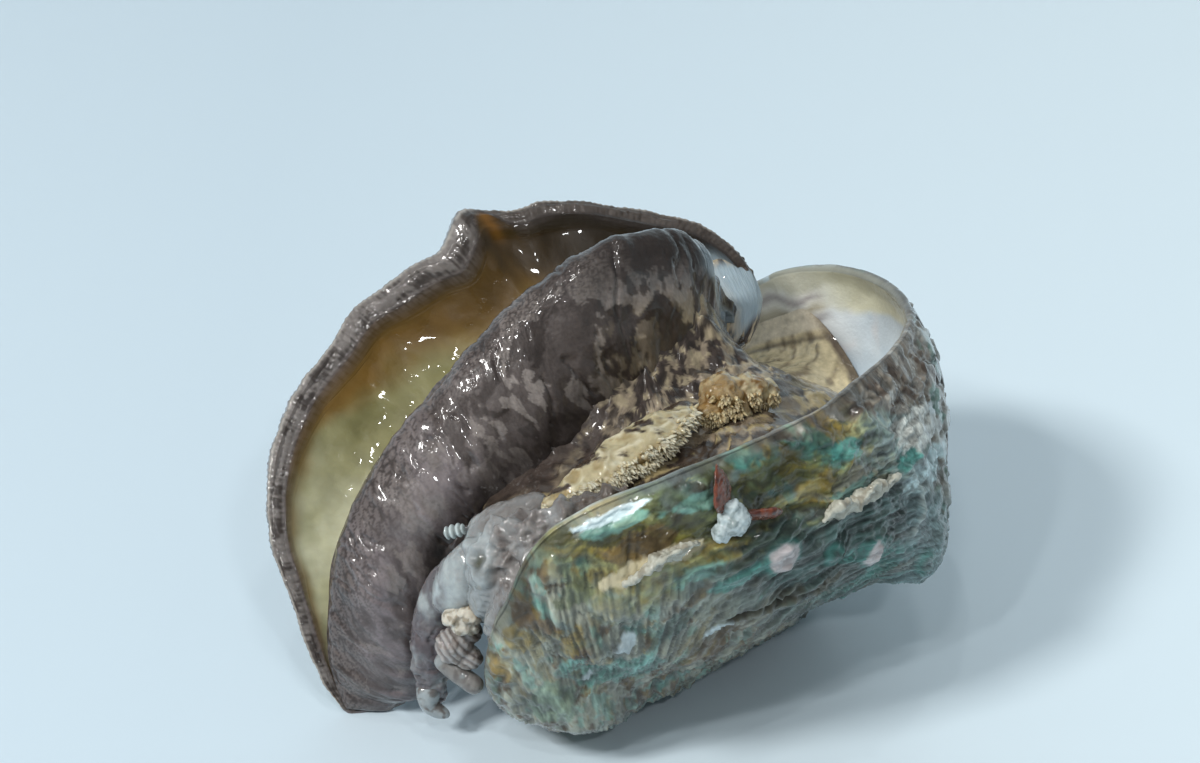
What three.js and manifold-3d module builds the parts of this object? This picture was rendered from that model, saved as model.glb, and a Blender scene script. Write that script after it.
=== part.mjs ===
// An abalone freed from the rock and laid down: the bowl of the shell leans with its opening up and
// to the left, the muscular foot bulges out of it and curls round its own sole, and the head, the
// mantle and the viscera fill the gap between the two. Millimetres, +Z up, floor at Z = 0.
import * as THREE from "three";
import { mergeVertices } from "three/addons/utils/BufferGeometryUtils.js";
import Module from "manifold-3d";

const wasm = await Module();
wasm.setup();

const vec = (x, y, z) => new THREE.Vector3(x, y, z);
const { lerp, smoothstep, degToRad, radToDeg } = THREE.MathUtils;

// ---- driving dimensions -------------------------------------------------------------------

const clearance = 0.35; // how far a body is grown before its neighbour is cut by it
const finest = 0.02; // slivers thinner than this are merged away

const shell = {
  centre: vec(8.8, 10.2, 23.4), // middle of the opening
  tailward: vec(0.418, 0.906, 0.063).normalize(), // from the head end to the spire end
  rightward: vec(0.611, -0.332, 0.719).normalize(), // to the animal's right: the lip on top
  halfLength: 35.9,
  halfWidth: 24.6,
  depth: 19.8,
  wall: 1.2,
  squareness: 2.4, // power of the superellipse that is the outline
  bowl: 2.66, // how flat the bottom of the bowl is
  sides: 1.59, // how steeply its sides meet the lip
  tailRise: 0.07, // the bowl is deeper towards the tail
  rightRise: 0.21, // and towards the right
  lipTwist: 6.3, // the lip is lifted and lowered twice round
  lipTwistTurn: 0.83,
  // Bulges of the bowl, placed as shares of the half length and the half width.
  bulges: [
    { along: 0.14, across: 0.53, height: 6, spread: 0.24 }, // the spire
    { along: -0.86, across: -0.46, height: 4.5, spread: 0.22 }, // the corner by the head
    { along: 0.3, across: -0.42, height: 7, spread: 0.42 }, // the shoulder it rests on
  ],
};

const foot = {
  // Guides from the front tip to the tail: the near crest and the far rim of the sole, and the
  // line where the near side goes down into the shell.
  crest: [
    [-27.2, -5, -1],
    [-28.2, -3, 9],
    [-25.5, 0, 21],
    [-18, 4, 31.5],
    [-6.5, 11, 41.5],
    [2, 16.5, 45.5],
    [8.5, 22, 43.5],
    [13, 29, 34],
    [16, 32, 29],
  ],
  rim: [
    [-28, -5.5, -1],
    [-32.3, 0, 9],
    [-35.6, 6.5, 18.5],
    [-33.4, 15, 26.8],
    [-21.8, 27, 35.9],
    [-14.2, 31, 41.4],
    [-4, 33.5, 42.3],
    [4.5, 35, 40.3],
    [11.5, 36, 38.3],
    [16.8, 36, 33.5],
    [16, 34, 29],
  ],
  side: [
    [-21.2, -3.2, 0.4],
    [-19.5, -4.5, 10],
    [-17, -3, 19],
    [-10, -0.5, 26],
    [-2, 4, 28.5],
    [9, 15, 29.5],
    [17, 27, 29.5],
  ],
  crestRadius: 2.4,
  rimRadius: 1.4,
  troughDepth: 9,
  thickness: 26, // from the rim down into the shell
  waist: 0.85, // where the far side ends, as a share of the sole's width
  endShare: 0.06, // of its length, rounded off at each end
  rimRoll: { at: 0.61, extra: 1.1, before: 0.12, after: 0.025 }, // the rim rolls in, thicker
};

// ---- helpers ------------------------------------------------------------------------------

// A closed body between two poles: point(rise, turn) gives its skin for rise from 0 to 1 and turn
// from 0 to 2 pi.
function wrapped(rows, columns, point) {
  const corners = [point(0, 0), point(1, 0)];
  for (let row = 1; row < rows; row++)
    for (let column = 0; column < columns; column++)
      corners.push(point(row / rows, (column / columns) * 2 * Math.PI));
  const index = (row, column) => {
    if (row === 0) return 0;
    if (row === rows) return 1;
    return 2 + (row - 1) * columns + (column % columns);
  };
  const faces = [];
  for (let row = 0; row < rows; row++)
    for (let column = 0; column < columns; column++) {
      const [a, b] = [index(row, column), index(row, column + 1)];
      const [c, d] = [index(row + 1, column + 1), index(row + 1, column)];
      if (row > 0) faces.push(a, b, c);
      if (row < rows - 1) faces.push(a, c, d);
    }
  const geometry = new THREE.BufferGeometry().setFromPoints(corners);
  geometry.setIndex(signedVolume(corners, faces) < 0 ? faces.reverse() : faces);
  return geometry;
}

function signedVolume(corners, faces) {
  let volume = 0;
  for (let i = 0; i < faces.length; i += 3) {
    const [a, b, c] = faces.slice(i, i + 3).map((corner) => corners[corner]);
    volume += a.dot(b.clone().cross(c)) / 6;
  }
  return volume;
}

function toSolid(geometry) {
  const bare = geometry.clone();
  bare.deleteAttribute("normal");
  bare.deleteAttribute("uv");
  const merged = mergeVertices(bare, 1e-4);
  return new wasm.Manifold(
    new wasm.Mesh({
      numProp: 3,
      vertProperties: new Float32Array(merged.attributes.position.array),
      triVerts: new Uint32Array(merged.index.array),
    }),
  );
}

function toGeometry(solid) {
  const mesh = solid.getMesh();
  const geometry = new THREE.BufferGeometry();
  geometry.setAttribute("position", new THREE.BufferAttribute(mesh.vertProperties, 3));
  geometry.setIndex(new THREE.BufferAttribute(mesh.triVerts, 1));
  return geometry;
}

// The same body with its skin moved out along its normals.
function grown(geometry, distance) {
  const bigger = geometry.clone();
  bigger.computeVertexNormals();
  const { position, normal } = bigger.attributes;
  for (let i = 0; i < position.count; i++) {
    const outward = vec().fromBufferAttribute(normal, i);
    const moved = vec().fromBufferAttribute(position, i).addScaledVector(outward, distance);
    position.setXYZ(i, moved.x, moved.y, moved.z);
  }
  return bigger;
}

const joined = (geometries) => geometries.map(toSolid).reduce((sum, piece) => sum.add(piece));

// What is left of a solid clear of its neighbours.
function clearOf(solid, neighbours) {
  const cutters = neighbours.map((geometry) => toSolid(grown(geometry, clearance)));
  return toGeometry(cutters.reduce((rest, cutter) => rest.subtract(cutter), solid));
}

function guide(points) {
  const corners = points.map((point) => vec(...point));
  return new THREE.CatmullRomCurve3(corners, false, "centripetal");
}

const bell = (distance, spread) => Math.exp(-((distance / spread) ** 2));

// A body lies flat where it would reach into the floor.
const onFloor = (point) => point.setZ(Math.max(point.z, 0));

// A soft body along a guide: radii at its start, middle and end, flatter along the given way.
function strand(points, [start, middle, end], flatness, flatWay, rings, sides) {
  const curve = guide(points);
  return wrapped(rings, sides, (rise, turn) => {
    const ahead = curve.getTangentAt(rise);
    const thin = flatWay.clone().addScaledVector(ahead, -flatWay.dot(ahead)).normalize();
    const wide = ahead.clone().cross(thin);
    const body = rise < 0.5 ? lerp(start, middle, rise * 2) : lerp(middle, end, rise * 2 - 1);
    const radius = body * Math.sqrt(1 - (2 * rise - 1) ** 6);
    return curve
      .getPointAt(rise)
      .addScaledVector(wide, Math.cos(turn) * radius)
      .addScaledVector(thin, Math.sin(turn) * radius * flatness);
  });
}

const blob = ([x, y, z], [rx, ry, rz]) =>
  new THREE.IcosahedronGeometry(1, 1).scale(rx, ry, rz).translate(x, y, z);

// ---- shell --------------------------------------------------------------------------------

const intoShell = shell.tailward.clone().cross(shell.rightward).normalize();
const shellAxes = new THREE.Matrix4()
  .makeBasis(shell.tailward, shell.rightward, intoShell)
  .setPosition(shell.centre);

// The outline at a turn from the tail over the right side, as shares of the half sizes.
function outline(turn) {
  const square = (value) => Math.sign(value) * Math.abs(value) ** (2 / shell.squareness);
  return [square(Math.cos(turn)), square(Math.sin(turn))];
}

// A point of the bowl in the shell's own axes: reach is 0 at its bottom and 1 at the lip, and
// inset is how far it lies inside the outer face.
function bowlPoint(turn, reach, inset) {
  const [along, across] = outline(turn);
  const bowl = (1 - reach ** shell.bowl) ** (1 / shell.sides);
  const rise = 1 + (shell.tailRise * along + shell.rightRise * across) * reach;
  const twist = -shell.lipTwist * Math.cos(2 * turn + shell.lipTwistTurn) * reach ** 2;
  let depth = (shell.depth - inset) * bowl * rise + twist;
  for (const bulge of shell.bulges) {
    const distance = Math.hypot(reach * along - bulge.along, reach * across - bulge.across);
    depth += bulge.height * bell(distance, bulge.spread) * (1 - reach ** 8);
  }
  return vec(
    (shell.halfLength - inset) * along * reach,
    (shell.halfWidth - inset) * across * reach,
    depth,
  );
}

const shellPoint = (turn, reach, inset) => bowlPoint(turn, reach, inset).applyMatrix4(shellAxes);

// The outer face from its bottom to the lip, then the inner face back down.
function makeShell() {
  const outerShare = 0.6;
  const reachAt = (share) => Math.sin(share * (Math.PI / 2));
  return wrapped(22, 48, (rise, turn) =>
    rise <= outerShare
      ? onFloor(shellPoint(turn, reachAt(rise / outerShare), 0))
      : shellPoint(turn, reachAt((1 - rise) / (1 - outerShare)), shell.wall),
  );
}

// ---- foot ---------------------------------------------------------------------------------

const crest = guide(foot.crest);
const rim = guide(foot.rim);
const side = guide(foot.side);

function rimRoll(rise) {
  const { at, extra, before, after } = foot.rimRoll;
  return extra * bell(rise - at, rise < at ? before : after);
}

// A cross-section of the foot: over the far rim, along the hollow sole, over the near crest, down
// the near side, back under the body and up the far side.
function footSection(rise, share) {
  const inner = THREE.MathUtils.clamp(rise, 0.02, 0.98);
  const full = Math.sin(Math.PI * inner) ** 0.5;
  const near = crest.getPointAt(inner);
  const far = rim.getPointAt(inner);
  const ahead = crest.getTangentAt(inner).add(rim.getTangentAt(inner)).normalize();
  const across = far.clone().sub(near);
  const roll = rimRoll(rise);
  const width = across.length() - roll;
  across.normalize();
  const out = ahead.clone().cross(across).normalize();
  const place = (e, n) => near.clone().addScaledVector(across, e).addScaledVector(out, n);

  const crestRadius = foot.crestRadius * full;
  const rimRadius = (foot.rimRadius + roll) * full;
  const low = side.getPointAt(rise);
  const thickness = foot.thickness * full ** 2;
  const farLow = place(width * foot.waist, 0).addScaledVector(intoShell, thickness);
  const [overRim, overSole, overCrest, downSide, under] = [0.1, 0.4, 0.45, 0.66, 0.82];
  const part = (from, to) => (share - from) / (to - from);

  if (share < overRim) {
    const a = Math.PI * part(0, overRim);
    return place(width + rimRadius * Math.cos(a), rimRadius * Math.sin(a));
  }
  if (share < overSole) {
    const t = part(overRim, overSole);
    const hollow = foot.troughDepth * full * Math.sin(Math.PI * t) ** 0.7;
    return place(lerp(width - rimRadius, crestRadius, t), -hollow);
  }
  if (share < overCrest) {
    const a = (Math.PI / 2) * part(overSole, overCrest);
    return place(crestRadius * Math.cos(a), crestRadius * Math.sin(a));
  }
  if (share < downSide) {
    const a = (Math.PI / 2) * part(overCrest, downSide);
    const drop = place(0, crestRadius).sub(low);
    const [aside, down, forward] = [across, out, ahead].map((way) => drop.dot(way));
    return place(-aside * Math.sin(a), crestRadius - down * (1 - Math.cos(a)))
      .addScaledVector(ahead, -forward * Math.sin(a));
  }
  if (share < under) {
    const t = part(downSide, under);
    const belly = 0.2 * thickness * Math.sin(Math.PI * t);
    return low.lerp(farLow, t).addScaledVector(intoShell, belly);
  }
  const t = part(under, 1);
  const swell = 0.16 * thickness * Math.sin(Math.PI * t);
  return farLow.lerp(place(width + rimRadius, 0), t).addScaledVector(across, swell);
}

// Both ends are rounded off: the sections there shrink on to their own middle.
function footPoint(rise, turn) {
  const inward = Math.min(1, Math.min(rise, 1 - rise) / foot.endShare);
  const size = Math.sqrt(1 - (1 - inward) ** 2);
  const samples = 8;
  const middle = vec();
  for (let i = 0; i < samples; i++)
    middle.addScaledVector(footSection(rise, i / samples), 1 / samples);
  return onFloor(middle.lerp(footSection(rise, turn / (2 * Math.PI)), size));
}

const makeFoot = () => wrapped(36, 32, footPoint);

// ---- viscera ------------------------------------------------------------------------------

// Height of the soft body over the middle plane of the opening.
const fillHeight = (along, across) =>
  6 - 4.5 * along - 12 * Math.max(across, -0.35) - 2.5 * smoothstep(along, 0.3, 0.7);

// It fills the bowl up to the lip, but leaves the shell's inside bare along the right side.
function fillReach(turn) {
  const degrees = radToDeg(turn);
  return 0.97 - 0.26 * smoothstep(degrees, 2, 20) * (1 - smoothstep(degrees, 80, 100));
}

function makeViscera() {
  return wrapped(20, 36, (rise, turn) => {
    const share = Math.sin(Math.min(rise, 1 - rise) * Math.PI);
    const reach = fillReach(turn) * share;
    const point = bowlPoint(turn, reach, shell.wall);
    if (rise > 0.5) {
      const [along, across] = outline(turn).map((value) => value * reach);
      point.z = lerp(-fillHeight(along, across), point.z, share ** 8);
    }
    return point.applyMatrix4(shellAxes);
  });
}

// ---- small soft pieces ----------------------------------------------------------------------

const skyward = vec(-0.3, -0.2, 0.9);

// The ringed tube of a small worm, stuck to the head where it meets the foot.
const makeWormTube = () =>
  toSolid(strand([[-16, -6.4, 25.6], [-13.6, -6.8, 26.6]], [0.75, 0.8, 0.75], 1, skyward, 8, 8));

const makeHead = () =>
  joined([blob([-14.5, -7, 19.5], [4.5, 5.5, 6.5]), blob([-16, -7, 11], [3.2, 4, 7.5])]);

const makeMouth = () => toSolid(blob([-14.2, -12.4, 17.6], [2.8, 2.4, 2.4]));

const makeFrill = () =>
  toSolid(
    strand([[-15, -11.6, 15], [-13.4, -12.4, 13], [-13, -12.4, 10.4]], [1.6, 2.3, 1.2], 0.8, skyward, 8, 10),
  );

const tentacles = [
  { guide: [[-16, -10, 11], [-14.2, -11.2, 9.4], [-11.9, -12.4, 7.6]], radii: [1.4, 1.3, 1] },
  { guide: [[-18, -9.5, 9], [-17.8, -10.2, 6], [-16.4, -10.5, 4.4]], radii: [1.2, 1.3, 0.8] },
];
const makeTentacle = ({ guide, radii }) => toSolid(strand(guide, radii, 0.9, skyward, 8, 8));

// Two folds of the mantle inside the lip, from the head up along the right side.
const innerFold = [[-12, -10, 21], [-10, -13, 26], [-5, -14, 30], [1, -13, 33], [7, -9, 35]];
const outerFold = [[-11, -15, 18], [-9.5, -17, 24], [-5, -18, 30], [1, -18, 34]];
const makeMantle = () =>
  joined([
    strand(innerFold, [3, 4, 1.2], 0.6, skyward, 14, 10),
    strand(outerFold, [2, 2.6, 1], 0.8, skyward, 12, 8),
  ]);

const gonadGuide = [[-5, -7, 29.5], [-1, -5, 31], [4, -1, 33], [9, 4, 34], [11, 8, 34.5]];
const makeGonad = () => toSolid(strand(gonadGuide, [1.8, 3, 2], 0.5, skyward, 16, 12));

const makeGland = () =>
  joined([blob([14.5, 8.5, 32.5], [4.5, 4, 2.6]), blob([10.5, 9, 33.5], [3, 3, 2])]);

// ---- growths on the shell -----------------------------------------------------------------

const onShell = (degrees, reach, lift) => shellPoint(degToRad(degrees), reach, -lift).toArray();

const makeBarnacle = () => toSolid(blob(onShell(130, 0.945, 1.1), [1.9, 1.7, 1.8]));

const weedGuide = [onShell(131, 0.99, 1.6), onShell(127, 0.97, 1.4), onShell(121, 0.96, 1)];
const makeWeed = () => toSolid(strand(weedGuide, [0.8, 1.2, 0.5], 0.6, skyward, 8, 8));

const upperCrustGuide = [onShell(156, 0.95, 0.6), onShell(150, 0.95, 0.8), onShell(143, 0.95, 0.6)];
const makeUpperCrust = () => toSolid(strand(upperCrustGuide, [1, 1.8, 1], 0.8, skyward, 8, 8));

const lowerCrustGuide = [onShell(112, 0.86, 0.6), onShell(105, 0.9, 0.8), onShell(95, 0.92, 0.6)];
const makeLowerCrust = () =>
  toSolid(strand(lowerCrustGuide, [0.9, 1.5, 0.9], 0.8, skyward, 10, 8));

// ---- assembly -----------------------------------------------------------------------------

const abalone = new THREE.Group();
const animal = new THREE.Group();
abalone.add(animal);

function add(name, body, color, roughness) {
  const geometry = toGeometry(toSolid(body).simplify(finest));
  const material = new THREE.MeshStandardMaterial({ color, roughness, metalness: 0 });
  const mesh = new THREE.Mesh(geometry, material);
  mesh.name = name;
  animal.add(mesh);
  return geometry;
}

const shellBody = add("shell", makeShell(), 0x62735f, 0.45);
const footBody = add("foot", makeFoot(), 0x6a6668, 0.3);
const viscera = add("viscera", clearOf(toSolid(makeViscera()), [shellBody, footBody]), 0x453d35, 0.35);
const bulk = [shellBody, footBody, viscera];
const head = add("head", clearOf(makeHead(), bulk), 0xa3aaac, 0.3);
add("worm_tube", clearOf(makeWormTube(), [...bulk, head]), 0xa9b8b8, 0.5);
const mouth = add("mouth", clearOf(makeMouth(), [...bulk, head]), 0xa3a29b, 0.35);
const frill = add("frill", clearOf(makeFrill(), [...bulk, head, mouth]), 0x8f8d88, 0.35);
tentacles.map(makeTentacle).forEach((tentacle, i) =>
  add(`tentacle_${i + 1}`, clearOf(tentacle, [...bulk, head, frill]), 0x8d9190, 0.3),
);
const mantle = add("mantle", clearOf(makeMantle(), [...bulk, head, mouth]), 0x81807b, 0.3);
const gonad = add("gonad", clearOf(makeGonad(), [...bulk, mantle]), 0xa69f8a, 0.35);
add("digestive_gland", clearOf(makeGland(), [...bulk, gonad]), 0x96804f, 0.4);
const barnacle = add("barnacle", clearOf(makeBarnacle(), [shellBody]), 0xc5cac6, 0.6);
add("weed", clearOf(makeWeed(), [shellBody, barnacle]), 0x5a2f22, 0.4);
add("upper_crust", clearOf(makeUpperCrust(), [shellBody]), 0xc0bb9f, 0.6);
add("lower_crust", clearOf(makeLowerCrust(), [shellBody]), 0xc9c5b8, 0.6);

// The origin is under the middle of the whole, on the floor.
const box = new THREE.Box3().setFromObject(animal);
animal.position.set(-(box.min.x + box.max.x) / 2, -(box.min.y + box.max.y) / 2, -box.min.z);

export default abalone;
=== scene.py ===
"""A fresh abalone lying on its side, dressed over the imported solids: the shell with its growth
lines, holes and nacre, the curled foot, the head, the mantle and the viscera, all wet."""

import itertools
import math
from types import SimpleNamespace

import bpy
import numpy as np
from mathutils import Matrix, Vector


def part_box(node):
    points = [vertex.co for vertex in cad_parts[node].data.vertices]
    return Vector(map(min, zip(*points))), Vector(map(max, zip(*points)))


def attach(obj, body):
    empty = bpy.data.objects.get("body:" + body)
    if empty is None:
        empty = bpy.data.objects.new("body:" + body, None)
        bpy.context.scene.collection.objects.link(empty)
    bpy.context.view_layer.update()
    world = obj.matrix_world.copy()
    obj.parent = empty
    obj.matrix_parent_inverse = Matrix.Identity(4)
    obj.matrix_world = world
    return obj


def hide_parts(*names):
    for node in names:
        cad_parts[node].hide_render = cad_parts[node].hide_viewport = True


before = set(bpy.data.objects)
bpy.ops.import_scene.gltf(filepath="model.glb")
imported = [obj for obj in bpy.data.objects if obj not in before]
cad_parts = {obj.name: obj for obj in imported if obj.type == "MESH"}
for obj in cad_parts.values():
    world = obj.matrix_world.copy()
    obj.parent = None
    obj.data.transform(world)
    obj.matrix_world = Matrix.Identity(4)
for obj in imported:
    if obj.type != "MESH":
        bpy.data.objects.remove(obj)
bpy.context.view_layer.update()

MM = 0.001
TAU = 2 * math.pi

# ---- driving dimensions, in millimetres, as the solids have them ----

SHELL = SimpleNamespace(
    centre=np.array([8.8, 10.2, 23.4]),
    tailward=np.array([0.418, 0.906, 0.063]),
    rightward=np.array([0.611, -0.332, 0.719]),
    half_length=35.9,
    half_width=24.6,
    depth=19.8,
    wall=1.2,
    squareness=2.4,
    bowl=2.66,
    sides=1.59,
    tail_rise=0.07,
    right_rise=0.21,
    lip_twist=6.3,
    lip_twist_turn=0.83,
    # along, across, height, spread
    bulges=((0.14, 0.53, 6, 0.24), (-0.86, -0.46, 4.5, 0.22), (0.3, -0.42, 7, 0.42)),
)

FOOT = SimpleNamespace(
    crest=(
        (-27.2, -5, -1), (-28.2, -3, 9), (-25.5, 0, 21), (-18, 4, 31.5), (-6.5, 11, 41.5),
        (2, 16.5, 45.5), (8.5, 22, 43.5), (13, 29, 34), (16, 32, 29),
    ),
    rim=(
        (-28, -5.5, -1), (-32.3, 0, 9), (-35.6, 6.5, 18.5), (-33.4, 15, 26.8),
        (-21.8, 27, 35.9), (-14.2, 31, 41.4), (-4, 33.5, 42.3), (4.5, 35, 40.3),
        (11.5, 36, 38.3), (16.8, 36, 33.5), (16, 34, 29),
    ),
    side=(
        (-21.2, -3.2, 0.4), (-19.5, -4.5, 10), (-17, -3, 19), (-10, -0.5, 26), (-2, 4, 28.5),
        (9, 15, 29.5), (17, 27, 29.5),
    ),
    crest_radius=2.4,
    rim_radius=1.4,
    trough_depth=9,
    thickness=26,
    waist=0.85,
    end_share=0.06,
    roll=SimpleNamespace(at=0.61, extra=1.1, before=0.12, after=0.025),
)


# ---- noise ----

_rng = np.random.RandomState(11)
SHUFFLE = _rng.permutation(256)
SLOPES = _rng.normal(size=(256, 3))
SLOPES /= np.linalg.norm(SLOPES, axis=1)[:, None]


def _key(cell):
    """The shuffled number of each cell."""
    return SHUFFLE[(SHUFFLE[(SHUFFLE[cell[..., 0] & 255] + cell[..., 1]) & 255] + cell[..., 2]) & 255]


def noise(points, seed):
    """Smooth noise from about -1 to 1, one wave or so per unit of length."""
    points = points + seed * 17.37
    cell = np.floor(points).astype(int)
    part = points - cell
    fade = part**3 * (part * (part * 6 - 15) + 10)
    total = 0.0
    for corner in itertools.product((0, 1), repeat=3):
        weight = np.prod(np.where(np.array(corner) == 1, fade, 1 - fade), axis=-1)
        total = total + weight * ((part - corner) * SLOPES[_key(cell + corner)]).sum(-1)
    return total * 1.7


def octaves_of(points, octaves, seed, shape):
    """Shaped noise with finer and weaker noise on it, each half the size of the one before."""
    total, size, reach = 0.0, 1.0, 0.0
    for octave in range(octaves):
        total = total + size * shape(noise(points * 2**octave, seed + octave))
        reach += size
        size *= 0.5
    return total / reach


def rough(points, octaves, seed):
    """Noise with finer noise on it, mostly from -0.6 to 0.6."""
    return octaves_of(points, octaves, seed, lambda value: value) * 1.3


def ridged(points, octaves, seed):
    """1 along thin winding lines, falling off to both sides."""
    return np.clip(octaves_of(points, octaves, seed, lambda value: 1 - np.abs(value) * 2), 0, 1)


def pebbles(points, seed):
    """Distances to the nearest and second nearest of scattered cores."""
    points = points + seed * 9.71
    cell = np.floor(points).astype(int)
    first = np.full(points.shape[:-1], 9.0)
    second = first.copy()
    for offset in itertools.product((-1, 0, 1), repeat=3):
        near = cell + offset
        core = near + 0.5 + 0.42 * SLOPES[_key(near)]
        distance = np.linalg.norm(points - core, axis=-1)
        closer = distance < first
        second = np.where(closer, first, np.minimum(second, distance))
        first = np.minimum(first, distance)
    return first, second


def cobbled(points, seed, width):
    """0 in the joints between pebbles, 1 on them."""
    first, second = pebbles(points, seed)
    return smooth(second - first, 0, width)


def smooth(value, low, high):
    """0 up to low, 1 from high on, and a soft step between them."""
    t = np.clip((value - low) / (high - low), 0, 1)
    return t * t * (3 - 2 * t)


def below(value, low, high):
    """1 up to low, 0 from high on."""
    return 1 - smooth(value, low, high)


def between(value, low, full, fading, high):
    """1 from full to fading, 0 outside low and high."""
    return smooth(value, low, full) * below(value, fading, high)


def bell(value, spread):
    """1 at zero, falling off to both sides."""
    return np.exp(-((value / spread) ** 2))


def mix(a, b, share):
    """a where the share is 0, b where it is 1."""
    return a + (b - a) * share


def clouds(points, seed, low, high):
    """Spots with soft ragged edges: 0 where rough noise is below low, 1 where it is above high."""
    return smooth(rough(points, 3, seed), low, high)


def running(steps):
    """The running total of the steps, from zero."""
    return np.concatenate([[0], np.cumsum(steps)])


# ---- guides ----


class Guide:
    """A centripetal Catmull-Rom curve through the points, taken by its length from 0 to 1."""

    def __init__(self, points):
        points = np.array(points, float)
        first, last = 2 * points[0] - points[1], 2 * points[-1] - points[-2]
        knots = np.vstack([first, points, last])
        steps = np.linspace(0, len(points) - 1, 1200)
        index = np.minimum(steps.astype(int), len(points) - 2)
        t = (steps - index)[:, None]
        p0, p1, p2, p3 = (knots[index + k] for k in range(4))
        d0, d1, d2 = (
            np.maximum(np.linalg.norm(b - a, axis=1), 1e-6)[:, None] ** 0.5
            for a, b in ((p0, p1), (p1, p2), (p2, p3))
        )
        start = ((p1 - p0) / d0 - (p2 - p0) / (d0 + d1) + (p2 - p1) / d1) * d1
        end = ((p2 - p1) / d1 - (p3 - p1) / (d1 + d2) + (p3 - p2) / d2) * d1
        square = -3 * p1 + 3 * p2 - 2 * start - end
        cube = 2 * p1 - 2 * p2 + start + end
        self.points = p1 + start * t + square * t**2 + cube * t**3
        steps = np.linalg.norm(np.diff(self.points, axis=0), axis=1)
        self.length = steps.sum()
        self.share = running(steps) / self.length

    def at(self, share):
        """Points at shares of the length."""
        share = np.asarray(share, float)
        return np.stack([np.interp(share, self.share, axis) for axis in self.points.T], -1)

    def ahead(self, share):
        """The way that the curve runs there."""
        step = 0.004
        low, high = np.clip(share - step, 0, 1), np.clip(share + step, 0, 1)
        return unit(self.at(high) - self.at(low))


def unit(vectors):
    """The vectors at length 1."""
    return vectors / np.maximum(np.linalg.norm(vectors, axis=-1, keepdims=True), 1e-12)


def dot(a, b):
    """Dot products, kept as a last axis of one."""
    return (a * b).sum(-1, keepdims=True)


def on_floor(points):
    """The points, with none under the floor."""
    points[..., 2] = np.maximum(points[..., 2], 0)
    return points


# ---- the shell's bowl ----

SHELL.axes = np.stack([unit(SHELL.tailward), unit(SHELL.rightward)])
SHELL.inward = unit(np.cross(*SHELL.axes))
SHELL.axes = np.vstack([SHELL.axes, SHELL.inward])


def outline(turn):
    """The lip at a turn from the tail over the right side, as shares of the half sizes."""
    square = lambda value: np.sign(value) * np.abs(value) ** (2 / SHELL.squareness)
    return square(np.cos(turn)), square(np.sin(turn))


def bowl(turn, reach, inset=0.0):
    """Points of the bowl in the shell's own axes: reach is 0 at its bottom and 1 at the lip."""
    along, across = outline(turn)
    curve = (1 - reach**SHELL.bowl) ** (1 / SHELL.sides)
    rise = 1 + (SHELL.tail_rise * along + SHELL.right_rise * across) * reach
    twist = -SHELL.lip_twist * np.cos(2 * turn + SHELL.lip_twist_turn) * reach**2
    depth = (SHELL.depth - inset) * curve * rise + twist
    for at_along, at_across, height, spread in SHELL.bulges:
        distance = np.hypot(reach * along - at_along, reach * across - at_across)
        depth = depth + height * bell(distance, spread) * (1 - reach**8)
    length, width = SHELL.half_length - inset, SHELL.half_width - inset
    return np.stack(np.broadcast_arrays(length * along * reach, width * across * reach, depth), -1)


def stand_up(local):
    """From the shell's own axes to the model's."""
    return local @ SHELL.axes + SHELL.centre


# ---- the foot ----

CREST, RIM, SIDE = Guide(FOOT.crest), Guide(FOOT.rim), Guide(FOOT.side)
# Where a section of the foot passes from one stretch to the next, as shares of the way round.
OVER_RIM, OVER_SOLE, OVER_CREST, DOWN_SIDE, UNDER = 0.1, 0.4, 0.45, 0.66, 0.82


def foot_section(rise, share):
    """The foot's skin: over the far rim, the sole and the near crest, down, under and back up."""
    rise, share = np.broadcast_arrays(rise, share)
    inner = np.clip(rise, 0.02, 0.98)
    full = (np.sin(np.pi * inner) ** 0.5)[..., None]
    near, far = CREST.at(inner), RIM.at(inner)
    ahead = unit(CREST.ahead(inner) + RIM.ahead(inner))
    across = far - near
    roll = FOOT.roll.extra * bell(
        rise - FOOT.roll.at, np.where(rise < FOOT.roll.at, FOOT.roll.before, FOOT.roll.after)
    )[..., None]
    width = np.linalg.norm(across, axis=-1, keepdims=True) - roll
    across = unit(across)
    out = unit(np.cross(ahead, across))
    place = lambda e, n: near + across * e + out * n
    crest_radius = FOOT.crest_radius * full
    rim_radius = (FOOT.rim_radius + roll) * full
    low = SIDE.at(rise)
    thickness = FOOT.thickness * full**2
    far_low = place(width * FOOT.waist, 0) + SHELL.inward * thickness
    part = lambda start, end: np.clip((share - start) / (end - start), 0, 1)[..., None]

    a = np.pi * part(0, OVER_RIM)
    rim = place(width + rim_radius * np.cos(a), rim_radius * np.sin(a))
    t = part(OVER_RIM, OVER_SOLE)
    hollow = FOOT.trough_depth * full * np.sin(np.pi * t) ** 0.7
    sole = place(mix(width - rim_radius, crest_radius, t), -hollow)
    a = np.pi / 2 * part(OVER_SOLE, OVER_CREST)
    crest = place(crest_radius * np.cos(a), crest_radius * np.sin(a))
    a = np.pi / 2 * part(OVER_CREST, DOWN_SIDE)
    drop = place(0, crest_radius) - low
    aside, down, forward = dot(drop, across), dot(drop, out), dot(drop, ahead)
    side = place(-aside * np.sin(a), crest_radius - down * (1 - np.cos(a)))
    side = side - ahead * forward * np.sin(a)
    t = part(DOWN_SIDE, UNDER)
    under = mix(low, far_low, t) + SHELL.inward * 0.2 * thickness * np.sin(np.pi * t)
    t = part(UNDER, 1)
    back = mix(far_low, place(width + rim_radius, 0), t)
    back = back + across * 0.16 * thickness * np.sin(np.pi * t)
    s = share[..., None]
    return np.select(
        [s < OVER_RIM, s < OVER_SOLE, s < OVER_CREST, s < DOWN_SIDE, s < UNDER],
        [rim, sole, crest, side, under],
        back,
    )


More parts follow.
